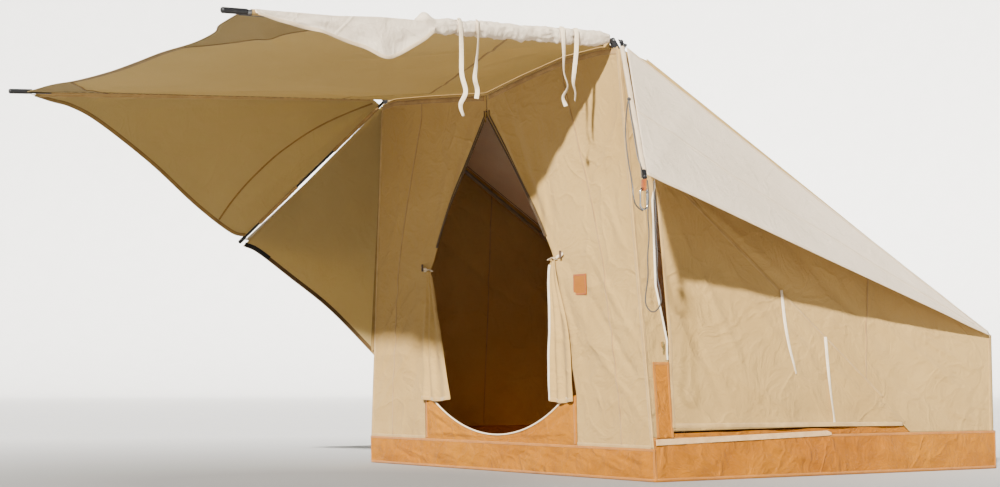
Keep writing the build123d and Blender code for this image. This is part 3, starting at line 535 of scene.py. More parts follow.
SAND, SAND_SHADE = srgb(190, 156, 94), srgb(179, 145, 84)
CANVAS = cloth_material("canvas_sand", SAND, SAND_SHADE, srgb(140, 108, 62), 0.035, srgb(210, 150, 60), crumple=0.6)
FLY = cloth_material("canvas_fly", srgb(236, 218, 192), srgb(226, 207, 180), srgb(186, 162, 126), 0.04,
                     srgb(220, 175, 100), crumple=0.3)
SHADE_CLOTH = cloth_material("canvas_canopy", srgb(192, 170, 116), srgb(182, 159, 105), srgb(138, 114, 68), 0.40,
                             srgb(222, 200, 142), crumple=0.3)
ORANGE = cloth_material("coated_orange", srgb(176, 112, 0), srgb(160, 94, 0), srgb(108, 64, 4), 0.03,
                        srgb(200, 100, 0), rough=0.55, sheen=0.02, weave=0.0024, crumple=0.9, creases=0.9)
PALE = cloth_material("canvas_pale", srgb(248, 232, 208), srgb(236, 216, 188), srgb(196, 168, 130), 0.12,
                      srgb(232, 186, 110), crumple=0.6)
HEM = stitched_material("canvas_hem", srgb(188, 153, 92), srgb(160, 126, 70), srgb(202, 172, 118))
HEM_PALE = stitched_material("canvas_hem_pale", srgb(216, 193, 158), srgb(196, 170, 132), srgb(226, 208, 176))
SEAM = stitched_material("canvas_seam", srgb(176, 142, 88), srgb(146, 112, 62), srgb(130, 98, 52))
SHADE_SEAM = stitched_material("canopy_seam", srgb(160, 130, 74), srgb(128, 100, 52), srgb(104, 80, 40), glow=0.16,
                               glow_colour=srgb(190, 146, 60))
DARK_PIPE = stitched_material("corner_piping", srgb(84, 62, 30), srgb(60, 42, 18), srgb(124, 98, 58))
ORANGE_HEM = stitched_material("orange_hem", srgb(170, 104, 0), srgb(144, 84, 0), srgb(190, 134, 36), rough=0.6)
WHITE_TAPE = stitched_material("cotton_tape", srgb(236, 218, 186), srgb(212, 190, 154), srgb(244, 232, 206),
                               rows_at=(0.12, 0.88), weave=0.0022)
BLACK_WEB = stitched_material("black_webbing", srgb(28, 26, 26), srgb(16, 15, 16), srgb(58, 54, 52), weave=0.003)
ORANGE_WEB = stitched_material("orange_webbing", srgb(156, 74, 0), srgb(130, 56, 0), srgb(186, 124, 44))
ZIP_TAPE = stitched_material("zip_tape", srgb(238, 226, 204), srgb(206, 190, 162), srgb(250, 246, 234), pitch=0.004)
ROPE = rope_material("guy_rope", srgb(84, 78, 72), srgb(42, 38, 35))
BINDING = stitched_material("binding_beige", srgb(206, 168, 116), srgb(186, 146, 94), srgb(222, 190, 146))


# ---------------------------------------------------------------- tent surfaces
FRONT_OUT = unit(np.array((0.0, -HEIGHT, -LEAN)))


def corner_x(z):
    return HALF - INSET * z / HEIGHT


def front(x, z, out=0.0):
    """Place on the front wall, moved outwards."""
    x, z = np.broadcast_arrays(np.asarray(x, float), np.asarray(z, float))
    return np.stack((x, FRONT - LEAN * z / HEIGHT, z), -1) + FRONT_OUT * out


def side_top(y_back):
    return HEIGHT + (REAR_TOP[2] - HEIGHT) * y_back / DEPTH


def side(y_back, z, sign=1.0, out=0.0):
    """Place on a side wall, y_back behind the front wall's foot, moved outwards."""
    y_back, z = np.broadcast_arrays(np.asarray(y_back, float), np.asarray(z, float))
    x = HALF - INSET * (1 - y_back / DEPTH) * z / side_top(y_back) + out
    return np.stack((sign * x, FRONT + y_back, z), -1)


def line(*points):
    """Even-paced line through points, read by shares with a trailing axis of one."""
    points = np.array(points, float)
    steps = np.linalg.norm(np.diff(points, axis=0), axis=1)
    stops = np.concatenate(((0,), np.cumsum(steps))) / max(steps.sum(), 1e-9)

    def at(share):
        share = np.clip(share[..., 0], 0, 1)
        return np.stack([np.interp(share, stops, column) for column in points.T], -1)

    return at


def curved(*points):
    return line(*smooth_line(points, 64))


def patch(left, right, low, high):
    """Surface inside four edges: u runs from left to right, v from low to high."""
    zero, one = np.zeros(1), np.ones(1)

    def surface(u, v):
        across = mix(left(v), right(v), u)
        upward = mix(low(u), high(u), v)
        corners = mix(mix(left(zero), right(zero), u), mix(left(one), right(one), u), v)
        return across + upward - corners

    return surface


def on_front(surface, out=0.0):
    def placed(u, v):
        flat = surface(u, v)
        return front(flat[..., 0], flat[..., 1], out)
    return placed


def on_side(surface, sign=1.0, out=0.0):
    def placed(u, v):
        flat = surface(u, v)
        return side(flat[..., 0], flat[..., 1], sign, out)
    return placed


def box_patch(left, right, low, high):
    """Patch between two upright edges and two level ones, in a wall's own coordinates."""
    return patch(
        line((left, low), (left, high)), line((right, low), (right, high)),
        line((left, low), (right, low)), line((left, high), (right, high)),
    )


def declare(cloth, with_pieces=()):
    """Works out the cloth's own cut, its greatest width and length and its area, and keeps none of them."""
    width, length = float(cloth.widths[-1].max()), float(cloth.lengths[:, -1].max())
    a, b = np.diff(cloth.places, axis=0)[:, :-1], np.diff(cloth.places, axis=1)[:-1]
    area = float(np.linalg.norm(np.cross(a, b), axis=-1).sum())
    flat = (round(width + 0.005, 2), round(length + 0.005, 2))
    area = min(area, flat[0] * flat[1])
    list(with_pieces)


def cloth_piece(name, cloth, material, node, with_pieces=(), slot="canvas", body="root",
                thickness=CLOTH):
    piece = cloth.build(name, material, slot, body, thickness)
    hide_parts(node)
    declare(cloth, with_pieces)
    return piece


# ---------------------------------------------------------------- camera and light
camera = bpy.data.objects.new("camera", bpy.data.cameras.new("camera"))
camera.data.lens = 64.46
camera.location = (7.7138, -6.5526, 0.4609)
CAMERA_TURN, CAMERA_PITCH = math.radians(55.11), math.radians(4.44)
look = Vector((-math.sin(CAMERA_TURN), math.cos(CAMERA_TURN), math.tan(CAMERA_PITCH)))
camera.rotation_euler = look.to_track_quat("-Z", "Y").to_euler()
bpy.context.scene.collection.objects.link(camera)
bpy.context.scene.camera = camera

sun = bpy.data.objects.new("key_light", bpy.data.lights.new("key_light", "SUN"))
sun.data.energy = 13.0
sun.data.angle = 0.035
sun.data.color = (1.0, 0.965, 0.91)
sun.rotation_euler = Vector((-0.8, 1.0, -0.637)).to_track_quat("-Z", "Y").to_euler()
bpy.context.scene.collection.objects.link(sun)

world = bpy.data.worlds.new("studio")
world.use_nodes = True
world.node_tree.nodes["Background"].inputs["Color"].default_value = (1.0, 1.0, 1.0, 1.0)
world.node_tree.nodes["Background"].inputs["Strength"].default_value = 0.06
bpy.context.scene.world = world

STAGE_RADIUS, STAGE_BEND, STAGE_WALL, STAGE_SPOKES = 52.0, 10.0, 25.0, 96
sweep = [(0.5, 0.0), (8.0, 0.0), (STAGE_RADIUS, 0.0)]
sweep += [(STAGE_RADIUS + STAGE_BEND * math.sin(a), STAGE_BEND - STAGE_BEND * math.cos(a))
          for a in np.linspace(0.15, math.pi / 2, 12)]
sweep += [(STAGE_RADIUS + STAGE_BEND, STAGE_WALL)]
spokes = np.linspace(0, 2 * math.pi, STAGE_SPOKES, endpoint=False)
stage_places = [(r * math.cos(a), r * math.sin(a), z) for r, z in sweep for a in spokes]
stage_faces = [tuple(range(STAGE_SPOKES))]
for ring in range(len(sweep) - 1):
    for spoke in range(STAGE_SPOKES):
        here, following = ring * STAGE_SPOKES + spoke, ring * STAGE_SPOKES + (spoke + 1) % STAGE_SPOKES
        stage_faces.append((here, here + STAGE_SPOKES, following + STAGE_SPOKES, following))
ground = bpy.data.meshes.new("studio_floor")
ground.from_pydata(stage_places, [], stage_faces)
ground.materials.append(floor_material())
for polygon in ground.polygons:
    polygon.use_smooth = True
studio_floor = bpy.data.objects.new("studio_floor", ground)
bpy.context.scene.collection.objects.link(studio_floor)
studio_floor.location.z = -0.0005
studio_floor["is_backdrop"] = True


# ---------------------------------------------------------------- guy ropes
TAB_TOP = RIGHT_TIP + np.array((0.008, -0.014, -0.006))
HANK_TOP = TAB_TOP + np.array((0.012, 0.010, -0.004))
ROPE_WIDTH = 0.006


def guy_rope(name, points):
    curve = bpy.data.curves.new(name, "CURVE")
    curve.dimensions = "3D"
    spline = curve.splines.new("NURBS")
    spline.points.add(len(points) - 1)
    for target, point in zip(spline.points, points):
        target.co = (*point, 1.0)
    spline.order_u = 3
    spline.use_endpoint_u = True
    spline.resolution_u = 10
    curve.bevel_depth = ROPE_WIDTH / 2
    curve.bevel_resolution = 4
    curve.use_fill_caps = True
    curve.materials.append(ROPE)
    piece = bpy.data.objects.new(name, curve)
    bpy.context.scene.collection.objects.link(piece)
    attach(piece, "wing_right")
    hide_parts(name)
    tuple(points[0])
    return piece


guy_rope("guy_rope_short", [
    (1.39535, -1.42727, 1.74572), (1.45022, -1.46879, 1.69527), (1.53355, -1.52014, 1.61352),
    (1.60737, -1.56543, 1.52435), (1.67918, -1.60871, 1.43517), (1.749, -1.648, 1.400), (1.745, -1.642, 1.3435),
])
guy_rope("guy_rope_long", [
    (1.38635, -1.42527, 1.74572), (1.38035, -1.44127, 1.64472), (1.55077, -1.56581, 1.46705),
    (1.66007, -1.62225, 1.31214), (1.733, -1.682, 1.2675), (1.737, -1.668, 1.2135), (1.745, -1.636, 1.2010),
])
guy_rope("guy_rope_hank", [tuple(HANK_TOP + np.array(step) / 1000) for step in (
    (0, 0, 0), (4, 8, -60), (-2, 2, -150), (4, 8, -240), (-2, 0, -330), (0, 4, -420), (-8, -8, -500), (-6, -8, -548),
    (12, 18, -580), (32, 44, -548), (34, 46, -500), (20, 30, -410), (24, 36, -320), (18, 28, -230), (20, 32, -140),
    (14, 24, -60), (14, 26, -4),
)])


# ---------------------------------------------------------------- floor and skirts
def floor_relief(p, u, v):
    edge = np.clip(np.minimum(np.minimum(u, 1 - u), np.minimum(v, 1 - v)) * 20, 0, 1)
    return edge * (0.004 + 0.004 * soft_noise(p[..., 0] * 3, p[..., 1] * 3, 5))


floor_cloth = Cloth(
    lambda u, v: np.concatenate((mix(-HALF, HALF, u) + 0 * v, mix(FRONT, REAR, v) + 0 * u, 0.002 + 0 * u * v), -1),
    floor_relief, 110, 110, out=Z)
cloth_piece("floor_sheet", floor_cloth, ORANGE, "groundsheet_floor", slot="orange_pvc",
            thickness=0.0035)


def skirt_relief(seed, bulge=0.009):
    """Crumpled coated cloth: it bulges outwards and folds slantwise."""
    def relief(p, u, v):
        edge = np.clip(np.minimum(u, 1 - u) * 30, 0, 1) * np.clip(np.sin(np.pi * v), 0, 1) ** 0.7
        waves = soft_noise(u * 9, v * 1.5, seed) + 0.45 * soft_noise(u * 26 + v * 5, v * 3 + u * 4, seed + 1)
        sharp = 1 - np.abs(soft_noise(u * 15 + v * 3.5, v * 2 - u * 9, seed + 2)) * 2
        return edge * bulge * (0.5 + waves + 0.35 * sharp)
    return relief


WIDE = HALF - 0.001
front_skirt = Cloth(on_front(box_patch(-WIDE, WIDE, 0.0045, FRONT_SKIRT)), skirt_relief(11), 220, 24, out=-Y)
side_skirts = {}
for name, sign in (("right", 1.0), ("left", -1.0)):
    side_skirts[name] = Cloth(on_side(box_patch(-0.001, DEPTH - 0.002, 0.0045, SIDE_SKIRT), sign),
                              skirt_relief(21 + int(sign)), 220, 30, out=X * sign)
rear_skirt = Cloth(
    lambda u, v: np.concatenate(
        (mix(-WIDE, WIDE, u) + 0 * v, REAR - 0.003 + 0 * u * v, mix(0.0045, SIDE_SKIRT, v) + 0 * u), -1),
    skirt_relief(31), 200, 30, out=Y)
UNIT = np.linspace(0, 1, 160)
for name, cloth in (("front", front_skirt), ("right", side_skirts["right"]), ("left", side_skirts["left"]),
                    ("rear", rear_skirt)):
    hem = band(f"skirt_{name}_hem", cloth, UNIT, 0.985, 0.014, ORANGE_HEM, slot="orange_pvc", lift=0.0012)
    foot = band(f"skirt_{name}_foot", cloth, UNIT, 0.03, 0.012, ORANGE_HEM, slot="orange_pvc", lift=0.001)
    ends = [band(f"skirt_{name}_end_{index}", cloth, share, np.linspace(0.0, 1.0, 24), 0.012, ORANGE_HEM,
                 slot="orange_pvc", lift=0.001) for index, share in enumerate((0.002, 0.998))]
    cloth_piece(f"skirt_{name}_cloth", cloth, ORANGE, f"skirt_{name}", [hem, foot, *ends],
                slot="orange_pvc")


# ---------------------------------------------------------------- door sill
SILL_BASE = FRONT_SKIRT + 0.003
NOTCH_X = DOOR_X / 2
SHOULDER = SILL_HIGH[2] - 0.020
SILL_HALF = SILL_HIGH[0]
NOTCH_R = (NOTCH_HALF**2 + (SHOULDER - NOTCH_LOW) ** 2) / (2 * (SHOULDER - NOTCH_LOW))


def notch(x):
    return NOTCH_LOW + NOTCH_R - np.sqrt(NOTCH_R**2 - (np.asarray(x) - NOTCH_X) ** 2)


notch_x = np.linspace(NOTCH_X - NOTCH_HALF, NOTCH_X + NOTCH_HALF, 60)
sill_rim = [(-SILL_HALF, SILL_HIGH[2])] + [(x, notch(x)) for x in notch_x] + [(SILL_HALF, SILL_HIGH[2])]
sill_surface = patch(
    line((-SILL_HALF, SILL_BASE), (-SILL_HALF, SILL_HIGH[2])),
    line((SILL_HALF, SILL_BASE), (SILL_HALF, SILL_HIGH[2])),
    line((-SILL_HALF, SILL_BASE), (SILL_HALF, SILL_BASE)), line(*sill_rim),
)


def sill_relief(p, u, v):
    push = hanging(u, v, 41, 0.006, 7, 2)
    push = creased(push, p[..., [0, 2]], (
        ((-0.66, 0.19), (-0.22, 0.185), 0.012, 0.007), ((-0.60, 0.27), (-0.40, 0.20), 0.014, -0.006),
        ((0.62, 0.22), (0.25, 0.19), 0.012, 0.006), ((-0.67, 0.33), (-0.50, 0.26), 0.012, 0.005),
        ((0.66, 0.34), (0.45, 0.24), 0.014, -0.005),
    ))
    return push * np.clip(v * 12, 0, 1)


sill = Cloth(on_front(sill_surface), sill_relief, 180, 40, out=-Y)
rim_places = sill.at(np.linspace(0.03, 0.97, 140), 1.0)[0]
sill_piping = cord_tube("sill_piping", rim_places + FRONT_OUT * 0.002, 0.0042, WHITE_TAPE, "root")
sill_seams = [band(f"sill_seam_{index}", sill, edge, np.linspace(0.02, 0.97, 40), 0.016, ORANGE_HEM,
                   slot="orange_pvc", lift=0.001) for index, edge in enumerate((0.012, 0.988))]
cloth_piece("door_sill_cloth", sill, ORANGE, "door_sill", [sill_piping, *sill_seams],
            slot="orange_pvc")


# ---------------------------------------------------------------- front wall
WALL_TOP = ((-1.080, 2.062), (-0.941, 2.072), (-0.583, 2.041), (DOOR_X, DOOR_TOP), (0.303, 2.033), (0.664, 2.076),
            (0.950, 2.078), (1.080, 2.062))


def wall_crest(x):
    points = np.array(WALL_TOP)
    return np.interp(x, points[:, 0], points[:, 1])


def front_wall(sign):
    tie = DOOR_X + sign * TIE_X
    jamb = sign * (SILL_HALF + 0.003)
    zip_x = DOOR_X + sign * 0.0025
    outer = line((sign * corner_x(SILL_BASE), SILL_BASE), (sign * (corner_x(2.030) - 0.001), 2.030),
                 (sign * 1.080, 2.062))
    bow = curved((tie, TIE_Z), (mix(tie, zip_x, 0.30) + sign * 0.018, mix(TIE_Z, SLIT_TOP, 0.32)),
                 (mix(tie, zip_x, 0.55) + sign * 0.016, mix(TIE_Z, SLIT_TOP, 0.57)), (zip_x, SLIT_TOP))
    edge = np.concatenate((
        np.array(((jamb, SILL_BASE), (jamb, SILL_HIGH[2]))), bow(np.linspace(0, 1, 30)[:, None]),
        np.array(((zip_x, DOOR_TOP),)),
    ))
    crest_x = np.linspace(sign * 1.080, zip_x, 60)
    crest = [(x, wall_crest(x)) for x in crest_x]
    surface = patch(outer, line(*edge), line((sign * corner_x(SILL_BASE), SILL_BASE), (jamb, SILL_BASE)),
                    line(*crest))

    def relief(p, u, v):
        flat = p[..., [0, 2]]
        push = hanging(u, v, 51 + int(sign), 0.007, 3, 3)
        apex = np.array((DOOR_X, SLIT_TOP))
        knot = np.array((tie, TIE_Z))
        for share, width, depth in ((0.10, 0.020, 0.010), (0.22, 0.028, -0.009), (0.36, 0.035, 0.009),
                                    (0.55, 0.045, -0.006)):
            head = mix(apex, np.array((sign * 0.75, 2.02)), share)
            push = push + crease(flat, knot + (sign * 0.01, 0.02), head, width, depth)
        for foot, width, depth in (((sign * 0.95, 0.55), 0.04, 0.007), ((sign * 1.05, 0.95), 0.05, -0.006),
                                   ((jamb, 0.62), 0.025, 0.008), ((sign * 0.85, 0.35), 0.04, -0.004)):
            push = push + crease(flat, knot, foot, width, depth)
        for a, b, width, depth in (((0.80, 1.12), (1.20, 0.62), 0.020, 0.006),
                                   ((0.74, 0.98), (1.22, 0.42), 0.022, -0.006),
                                   ((0.76, 0.72), (1.24, 0.26), 0.020, 0.006),
                                   ((0.86, 0.80), (1.16, 0.70), 0.02, 0.004),
                                   ((0.90, 1.45), (1.14, 1.02), 0.022, 0.005)):
            push = push + crease(flat, (sign * a[0], a[1]), (sign * b[0], b[1]), width, depth)
        push = push + crease(flat, (sign * 0.72, 0.66), (sign * 1.18, 0.60), 0.03, 0.004)
        push = push + crease(flat, (sign * 0.74, 0.40), (sign * 1.20, 0.33), 0.02, 0.003)
        pinch = np.exp(-((np.linalg.norm(flat - knot, axis=-1) / 0.05) ** 2))
        edge_hold = np.clip(np.minimum(u * 20, np.minimum(v, 1 - v) * 30), 0, 1)
        return push * edge_hold + 0.006 * pinch

    return Cloth(on_front(surface), relief, 110, 170, out=-Y)


for name, sign in (("left", -1.0), ("right", 1.0)):
    wall = front_wall(sign)
    along = np.linspace(0, 1, 170)
    corner_seam = band(f"front_corner_seam_{name}", wall, 0.006, along, 0.022, HEM, lift=0.001)
    top_seam = band(f"front_top_seam_{name}", wall, np.linspace(0.01, 0.982, 80), 0.988, 0.026, SEAM, lift=0.001)
    panel_seam = band(f"front_panel_seam_{name}", wall, 0.40, np.linspace(0.005, 0.985, 150), 0.012, SEAM)
    foot_seam = band(f"front_foot_seam_{name}", wall, np.linspace(0, 1, 50), 0.004, 0.016, HEM, lift=0.001)
    low_share = 0.53
    edge_run = np.linspace(low_share, 0.955, 90)
    # painted shade: the door's zip tape takes the dark piping colour, for the canopy's shade over it
    zip_tape = band(f"door_zip_tape_{name}", wall, 0.982, edge_run, 0.010, DARK_PIPE, lift=0.002)
    door_edge = band(f"door_edge_{name}", wall, 1.0, edge_run, 0.010, DARK_PIPE, thickness=0.006, lift=0.003)
    cloth_piece(f"front_wall_{name}_cloth", wall, CANVAS, f"front_wall_{name}",
                [corner_seam, top_seam, panel_seam, foot_seam, zip_tape, door_edge])


# ---------------------------------------------------------------- gathered door flaps
def door_tail(sign, width, folds, seed):
    tie = DOOR_X + sign * TIE_X
    jamb = sign * (SILL_HALF - 0.006)
    low = 0.372
    outer = curved((tie + sign * 0.016, TIE_Z + 0.01), (tie + sign * 0.030, TIE_Z - 0.10),
                   (jamb - sign * 0.020, 0.70),
                   (jamb, low))
    inner = curved((tie - sign * 0.022, TIE_Z + 0.01), (tie - sign * 0.040, TIE_Z - 0.07),
                   (mix(tie, jamb - sign * width, 0.55) - sign * 0.010, 0.72), (jamb - sign * width, low))
    surface = patch(outer, inner, line((tie + sign * 0.016, TIE_Z + 0.01), (tie - sign * 0.022, TIE_Z + 0.01)),
                    curved((jamb, low), (jamb - sign * width * 0.5, low - 0.010), (jamb - sign * width, low)))

    def relief(p, u, v):
        spread = np.clip(v * 3, 0.35, 1)
        phase = folds * 2 * np.pi * u + 1.6 * soft_noise(u * 2, v * 1.6, seed)
        gather = np.sin(phase) * mix(0.006, 0.009, np.clip(v, 0, 1)) * spread
        return gather + 0.004 * soft_noise(u * 5, v * 6, seed + 3)

    return Cloth(on_front(surface, 0.016), relief, 96, 90, out=-Y)


tails = {}
for name, sign, width, folds, seed in (("left", -1.0, 0.265, 2.6, 61), ("right", 1.0, 0.190, 2.2, 71)):
    tail = door_tail(sign, width, folds, seed)
    down = np.linspace(0.04, 1, 80)
    zip_cloth = ZIP_TAPE if sign > 0 else HEM
    zip_edge = band(f"door_tail_zip_{name}", tail, 0.985, down, 0.014, zip_cloth, slot="pale_canvas", body=None,
                    lift=0.001)
    hem = band(f"door_tail_hem_{name}", tail, np.linspace(0, 1, 80), 0.99, 0.020, HEM, body=None)
    tails[name] = cloth_piece(f"door_flap_{name}_cloth", tail, CANVAS, f"door_flap_{name}",
                              [zip_edge, hem], body=None)
    swing = JOINTS[f"door_{name}_swing"]
    pivot, axis = np.array(swing["pos_m"]), np.array(swing["axis"])
    for piece in (tails[name], zip_edge, hem):
        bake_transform(piece)

for name, sign in (("left", -1.0), ("right", 1.0)):
    tie = DOOR_X + sign * TIE_X
    turn = np.linspace(0, 2 * np.pi, 60)
    ring = front(tie - sign * 0.003 + 0.030 * np.cos(turn), TIE_Z + 0.012 + 0.006 * np.sin(turn * 2), 0.018)
    ring = ring + FRONT_OUT * (0.014 * np.sin(turn))[:, None]
    profile_run(f"door_tie_loop_{name}", ring, np.tile(Z, (60, 1)) + 0.02,
                                 flat_profile(0.014, 0.002),
                                 WHITE_TAPE, "root")
    reach = np.linspace(0, 1, 24)
    ends = front(tie + sign * (0.02 + 0.055 * reach), TIE_Z + 0.014 + 0.020 * reach + 0.004 * np.sin(reach * 7),
                 0.012)
    profile_run(f"door_tie_end_{name}", ends, FRONT_OUT, flat_profile(0.014, 0.002), WHITE_TAPE,
                                 "root")
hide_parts("door_ties")


# ---------------------------------------------------------------- right side: strip, wall, flap
SIDE_LOW = SIDE_SKIRT + 0.003
FLAP_FRONT, FLAP_TOP_Z, FLAP_REAR = 0.118, 1.540, 1.690
FLAP_REAR_Z = SIDE_SKIRT + 0.062
FLAP_SLOPE = (FLAP_REAR_Z - FLAP_TOP_Z) / (FLAP_REAR - FLAP_FRONT)


def flap_line(y_back):
    return FLAP_TOP_Z + FLAP_SLOPE * (y_back - FLAP_FRONT)


def wall_top(y_back):
    return side_top(max(y_back, 0.045)) - 0.010


def strip_relief(p, u, v):
    return hanging(u, v, 81, 0.006, 1, 7) + 0.004 * np.sin(np.pi * u) * soft_noise(u, v * 16, 83)


def lean_back(z):
    """The front wall leans forward, so the side cloth's front edge runs ahead of its foot."""
    return -LEAN * z / HEIGHT


STRIP_TOP = 2.055
strip_rear = line((0.126, SIDE_LOW), (0.126, 0.60), (0.131, 0.655), (0.083, 0.916), (0.098, 1.330), (0.120, 1.40),
                  (0.126, 1.50), (0.126, 2.010))
strip = Cloth(
    on_side(patch(line((lean_back(SIDE_LOW) - 0.001, SIDE_LOW), (lean_back(STRIP_TOP) - 0.001, STRIP_TOP)),
                  strip_rear,
                  line((lean_back(SIDE_LOW) - 0.001, SIDE_LOW), (0.126, SIDE_LOW)),
                  line((lean_back(STRIP_TOP) - 0.001, STRIP_TOP), (0.126, 2.010))), out=-0.003),
    strip_relief, 40, 190, out=X)
strip_corner = band("strip_corner_seam", strip, 0.05, UNIT, 0.014, HEM, lift=0.003)
strip_zip = band("strip_zip_tape", strip, 0.97, np.linspace(0.20, 0.68, 120), 0.010, ZIP_TAPE, slot="pale_canvas",
                 lift=0.001)
cloth_piece("side_strip_cloth", strip, CANVAS, "side_strip_right", [strip_corner, strip_zip])

KNEE = FLAP_REAR + (SIDE_LOW - FLAP_REAR_Z - 0.006) / FLAP_SLOPE
WALL_END = DEPTH - 0.012


def side_folds(p, u, v):
    flat = np.stack((p[..., 1] - FRONT, p[..., 2]), -1)
    push = hanging(u, v, 91, 0.010, 3, 1.5)
    push = creased(push, flat, (
        ((0.33, 1.37), (0.95, 0.95), 0.030, 0.010), ((1.50, 0.80), (2.15, 0.40), 0.032, 0.012),
        ((0.90, 1.20), (1.62, 0.62), 0.034, -0.009), ((1.72, 0.75), (2.25, 0.52), 0.022, 0.007),
        ((1.35, 0.62), (2.10, 0.26), 0.030, -0.008), ((1.95, 0.33), (2.30, 0.24), 0.02, 0.006),
        ((0.25, 1.62), (0.80, 1.40), 0.03, 0.006),
    ))
    edge = np.clip(np.minimum(np.minimum(u, 1 - u), np.minimum(v, 1 - v)) * 22, 0, 1)
    return push * edge


UNDER = 0.035
upper = Cloth(
    on_side(patch(line((0.116, flap_line(0.116) - UNDER), (0.116, wall_top(0.116))),
                  line((WALL_END, SIDE_LOW), (WALL_END, wall_top(WALL_END))),
                  line((0.116, flap_line(0.116) - UNDER), (KNEE - 0.045, SIDE_LOW), (WALL_END, SIDE_LOW)),
                  line((0.116, wall_top(0.116)), (WALL_END, wall_top(WALL_END)))), out=-0.003),
    side_folds, 220, 110, out=X)
rear_seam = band("side_rear_seam", upper, 0.992, UNIT, 0.018, HEM, lift=0.001)
upper_panel = band("side_panel_seam", upper, 0.62, np.linspace(0.01, 0.99, 90), 0.012, SEAM)
cloth_piece("side_wall_right_cloth", upper, CANVAS, "side_wall_right",
            [rear_seam, upper_panel])


def flap_relief(p, u, v):
    flat = np.stack((p[..., 1] - FRONT, p[..., 2]), -1)
    push = hanging(u, v, 101, 0.010, 3, 2)
    push = creased(push, flat, (
        ((0.20, 1.30), (0.62, 0.45), 0.030, 0.009), ((0.16, 0.95), (0.45, 0.35), 0.028, -0.008),
        ((0.40, 1.18), (1.05, 0.40), 0.036, 0.008), ((0.75, 0.92), (1.35, 0.34), 0.030, -0.007),
        ((0.14, 0.62), (0.95, 0.30), 0.022, 0.006), ((0.90, 0.72), (1.50, 0.32), 0.024, 0.006),
    ))
    lift = 0.010 * np.exp(-((flat[..., 1] - 0.235) / 0.05) ** 2) * np.sin(np.pi * np.clip(u, 0, 1))
    wave = 0.006 * np.sin(flat[..., 0] * 17) * np.exp(-((flat[..., 1] - 0.23) / 0.10) ** 2)
    hold = np.clip((1 - v) * 25, 0, 1)
    return (push + wave) * hold + lift * hold


flap = Cloth(
    on_side(patch(line((FLAP_FRONT - 0.004, FLAP_LOW[2]), (0.124, 0.50), (0.133, 0.666), (0.118, 1.33),
                       (FLAP_FRONT - 0.004, flap_line(FLAP_FRONT) - 0.004)),
                  line((FLAP_REAR, FLAP_REAR_Z - 0.014), (FLAP_REAR, FLAP_REAR_Z)),
                  line((FLAP_FRONT - 0.004, FLAP_LOW[2]), (FLAP_REAR, FLAP_REAR_Z - 0.014)),
                  line((FLAP_FRONT - 0.004, flap_line(FLAP_FRONT) - 0.004), (FLAP_REAR, FLAP_REAR_Z))), out=0.001),
    flap_relief, 200, 110, out=X)
flap_hem = band("side_flap_hem", flap, np.linspace(0.004, 0.985, 160), 0.02, 0.022, HEM, body="side_flap")
flap_front = band("side_flap_front_hem", flap, 0.006, np.linspace(0.01, 0.99, 110), 0.020, HEM, body="side_flap")
flap_pipe = band("side_flap_hinge", flap, np.linspace(0.01, 0.90, 160), 0.976, 0.012, HEM, body="side_flap",
                 lift=0.001)
cloth_piece("side_flap_cloth", flap, CANVAS, "side_flap",
            [flap_hem, flap_front, flap_pipe], body="side_flap")


def small_relief(seed, depth, across, along):
    def relief(p, u, v):
        return depth * (soft_noise(u * across, v * along, seed) + 0.4 * soft_noise(u * across * 3, v * along * 3,
                                                                                   seed))
    return relief


post = Cloth(on_side(box_patch(0.020, 0.120, SIDE_LOW, 0.557), out=0.0065), small_relief(111, 0.0015, 3, 6), 30, 60,
             out=X)
post_hem = [band(f"post_hem_{index}", post, *run, 0.014, ORANGE_HEM, slot="orange_pvc")
            for index, run in enumerate(((0.07, UNIT), (0.93, UNIT), (UNIT, 0.975)))]
cloth_piece("corner_post_cloth", post, ORANGE, "corner_post_patch", post_hem, slot="orange_pvc")

sill_line = ((0.118, 0.222), (1.180, 0.236), (1.640, 0.264), (1.715, 0.211))
side_sill = Cloth(
    on_side(patch(line((0.118, SIDE_LOW), sill_line[0]), line((1.715, SIDE_LOW), sill_line[3]),
                  line((0.118, SIDE_LOW), (1.715, SIDE_LOW)), line(*sill_line)), out=-0.005),
    small_relief(121, 0.002, 14, 2), 160, 12, out=X)
cloth_piece("side_sill_cloth", side_sill, ORANGE, "side_sill", slot="orange_pvc")
binding = Cloth(
    on_side(patch(line((0.010, 0.168), (0.010, 0.196)), line((1.150, 0.200), (1.150, 0.210)),
                  line((0.010, 0.168), (1.120, 0.196), (1.150, 0.200)),
                  line((0.010, 0.196), (1.120, 0.222), (1.150, 0.210))), out=0.007),
    small_relief(131, 0.0022, 22, 1), 200, 8, out=X)
cloth_piece("skirt_binding_cloth", binding, BINDING, "skirt_binding", slot="pale_canvas")


# ---------------------------------------------------------------- left side, rear wall, roof
left_wall = Cloth(
    on_side(patch(line((lean_back(SIDE_LOW), SIDE_LOW), (lean_back(STRIP_TOP), STRIP_TOP)),
                  line((WALL_END, SIDE_LOW), (WALL_END, wall_top(WALL_END))),
                  line((lean_back(SIDE_LOW), SIDE_LOW), (WALL_END, SIDE_LOW)),
                  line((lean_back(STRIP_TOP), STRIP_TOP), (0.10, wall_top(0.10)), (WALL_END, wall_top(WALL_END)))),
            sign=-1.0),
    lambda p, u, v: side_folds(p, u, v), 220, 120, out=-X)
left_seams = [band(f"left_wall_seam_{index}", left_wall, *run, width, SEAM)
              for index, (run, width) in enumerate((((0.33, np.linspace(0.01, 0.99, 120)), 0.012),
                                                    ((0.68, np.linspace(0.01, 0.99, 120)), 0.012),
                                                    ((0.006, UNIT), 0.02), ((0.993, UNIT), 0.02)))]
cloth_piece("side_wall_left_cloth", left_wall, CANVAS, "side_wall_left", left_seams)

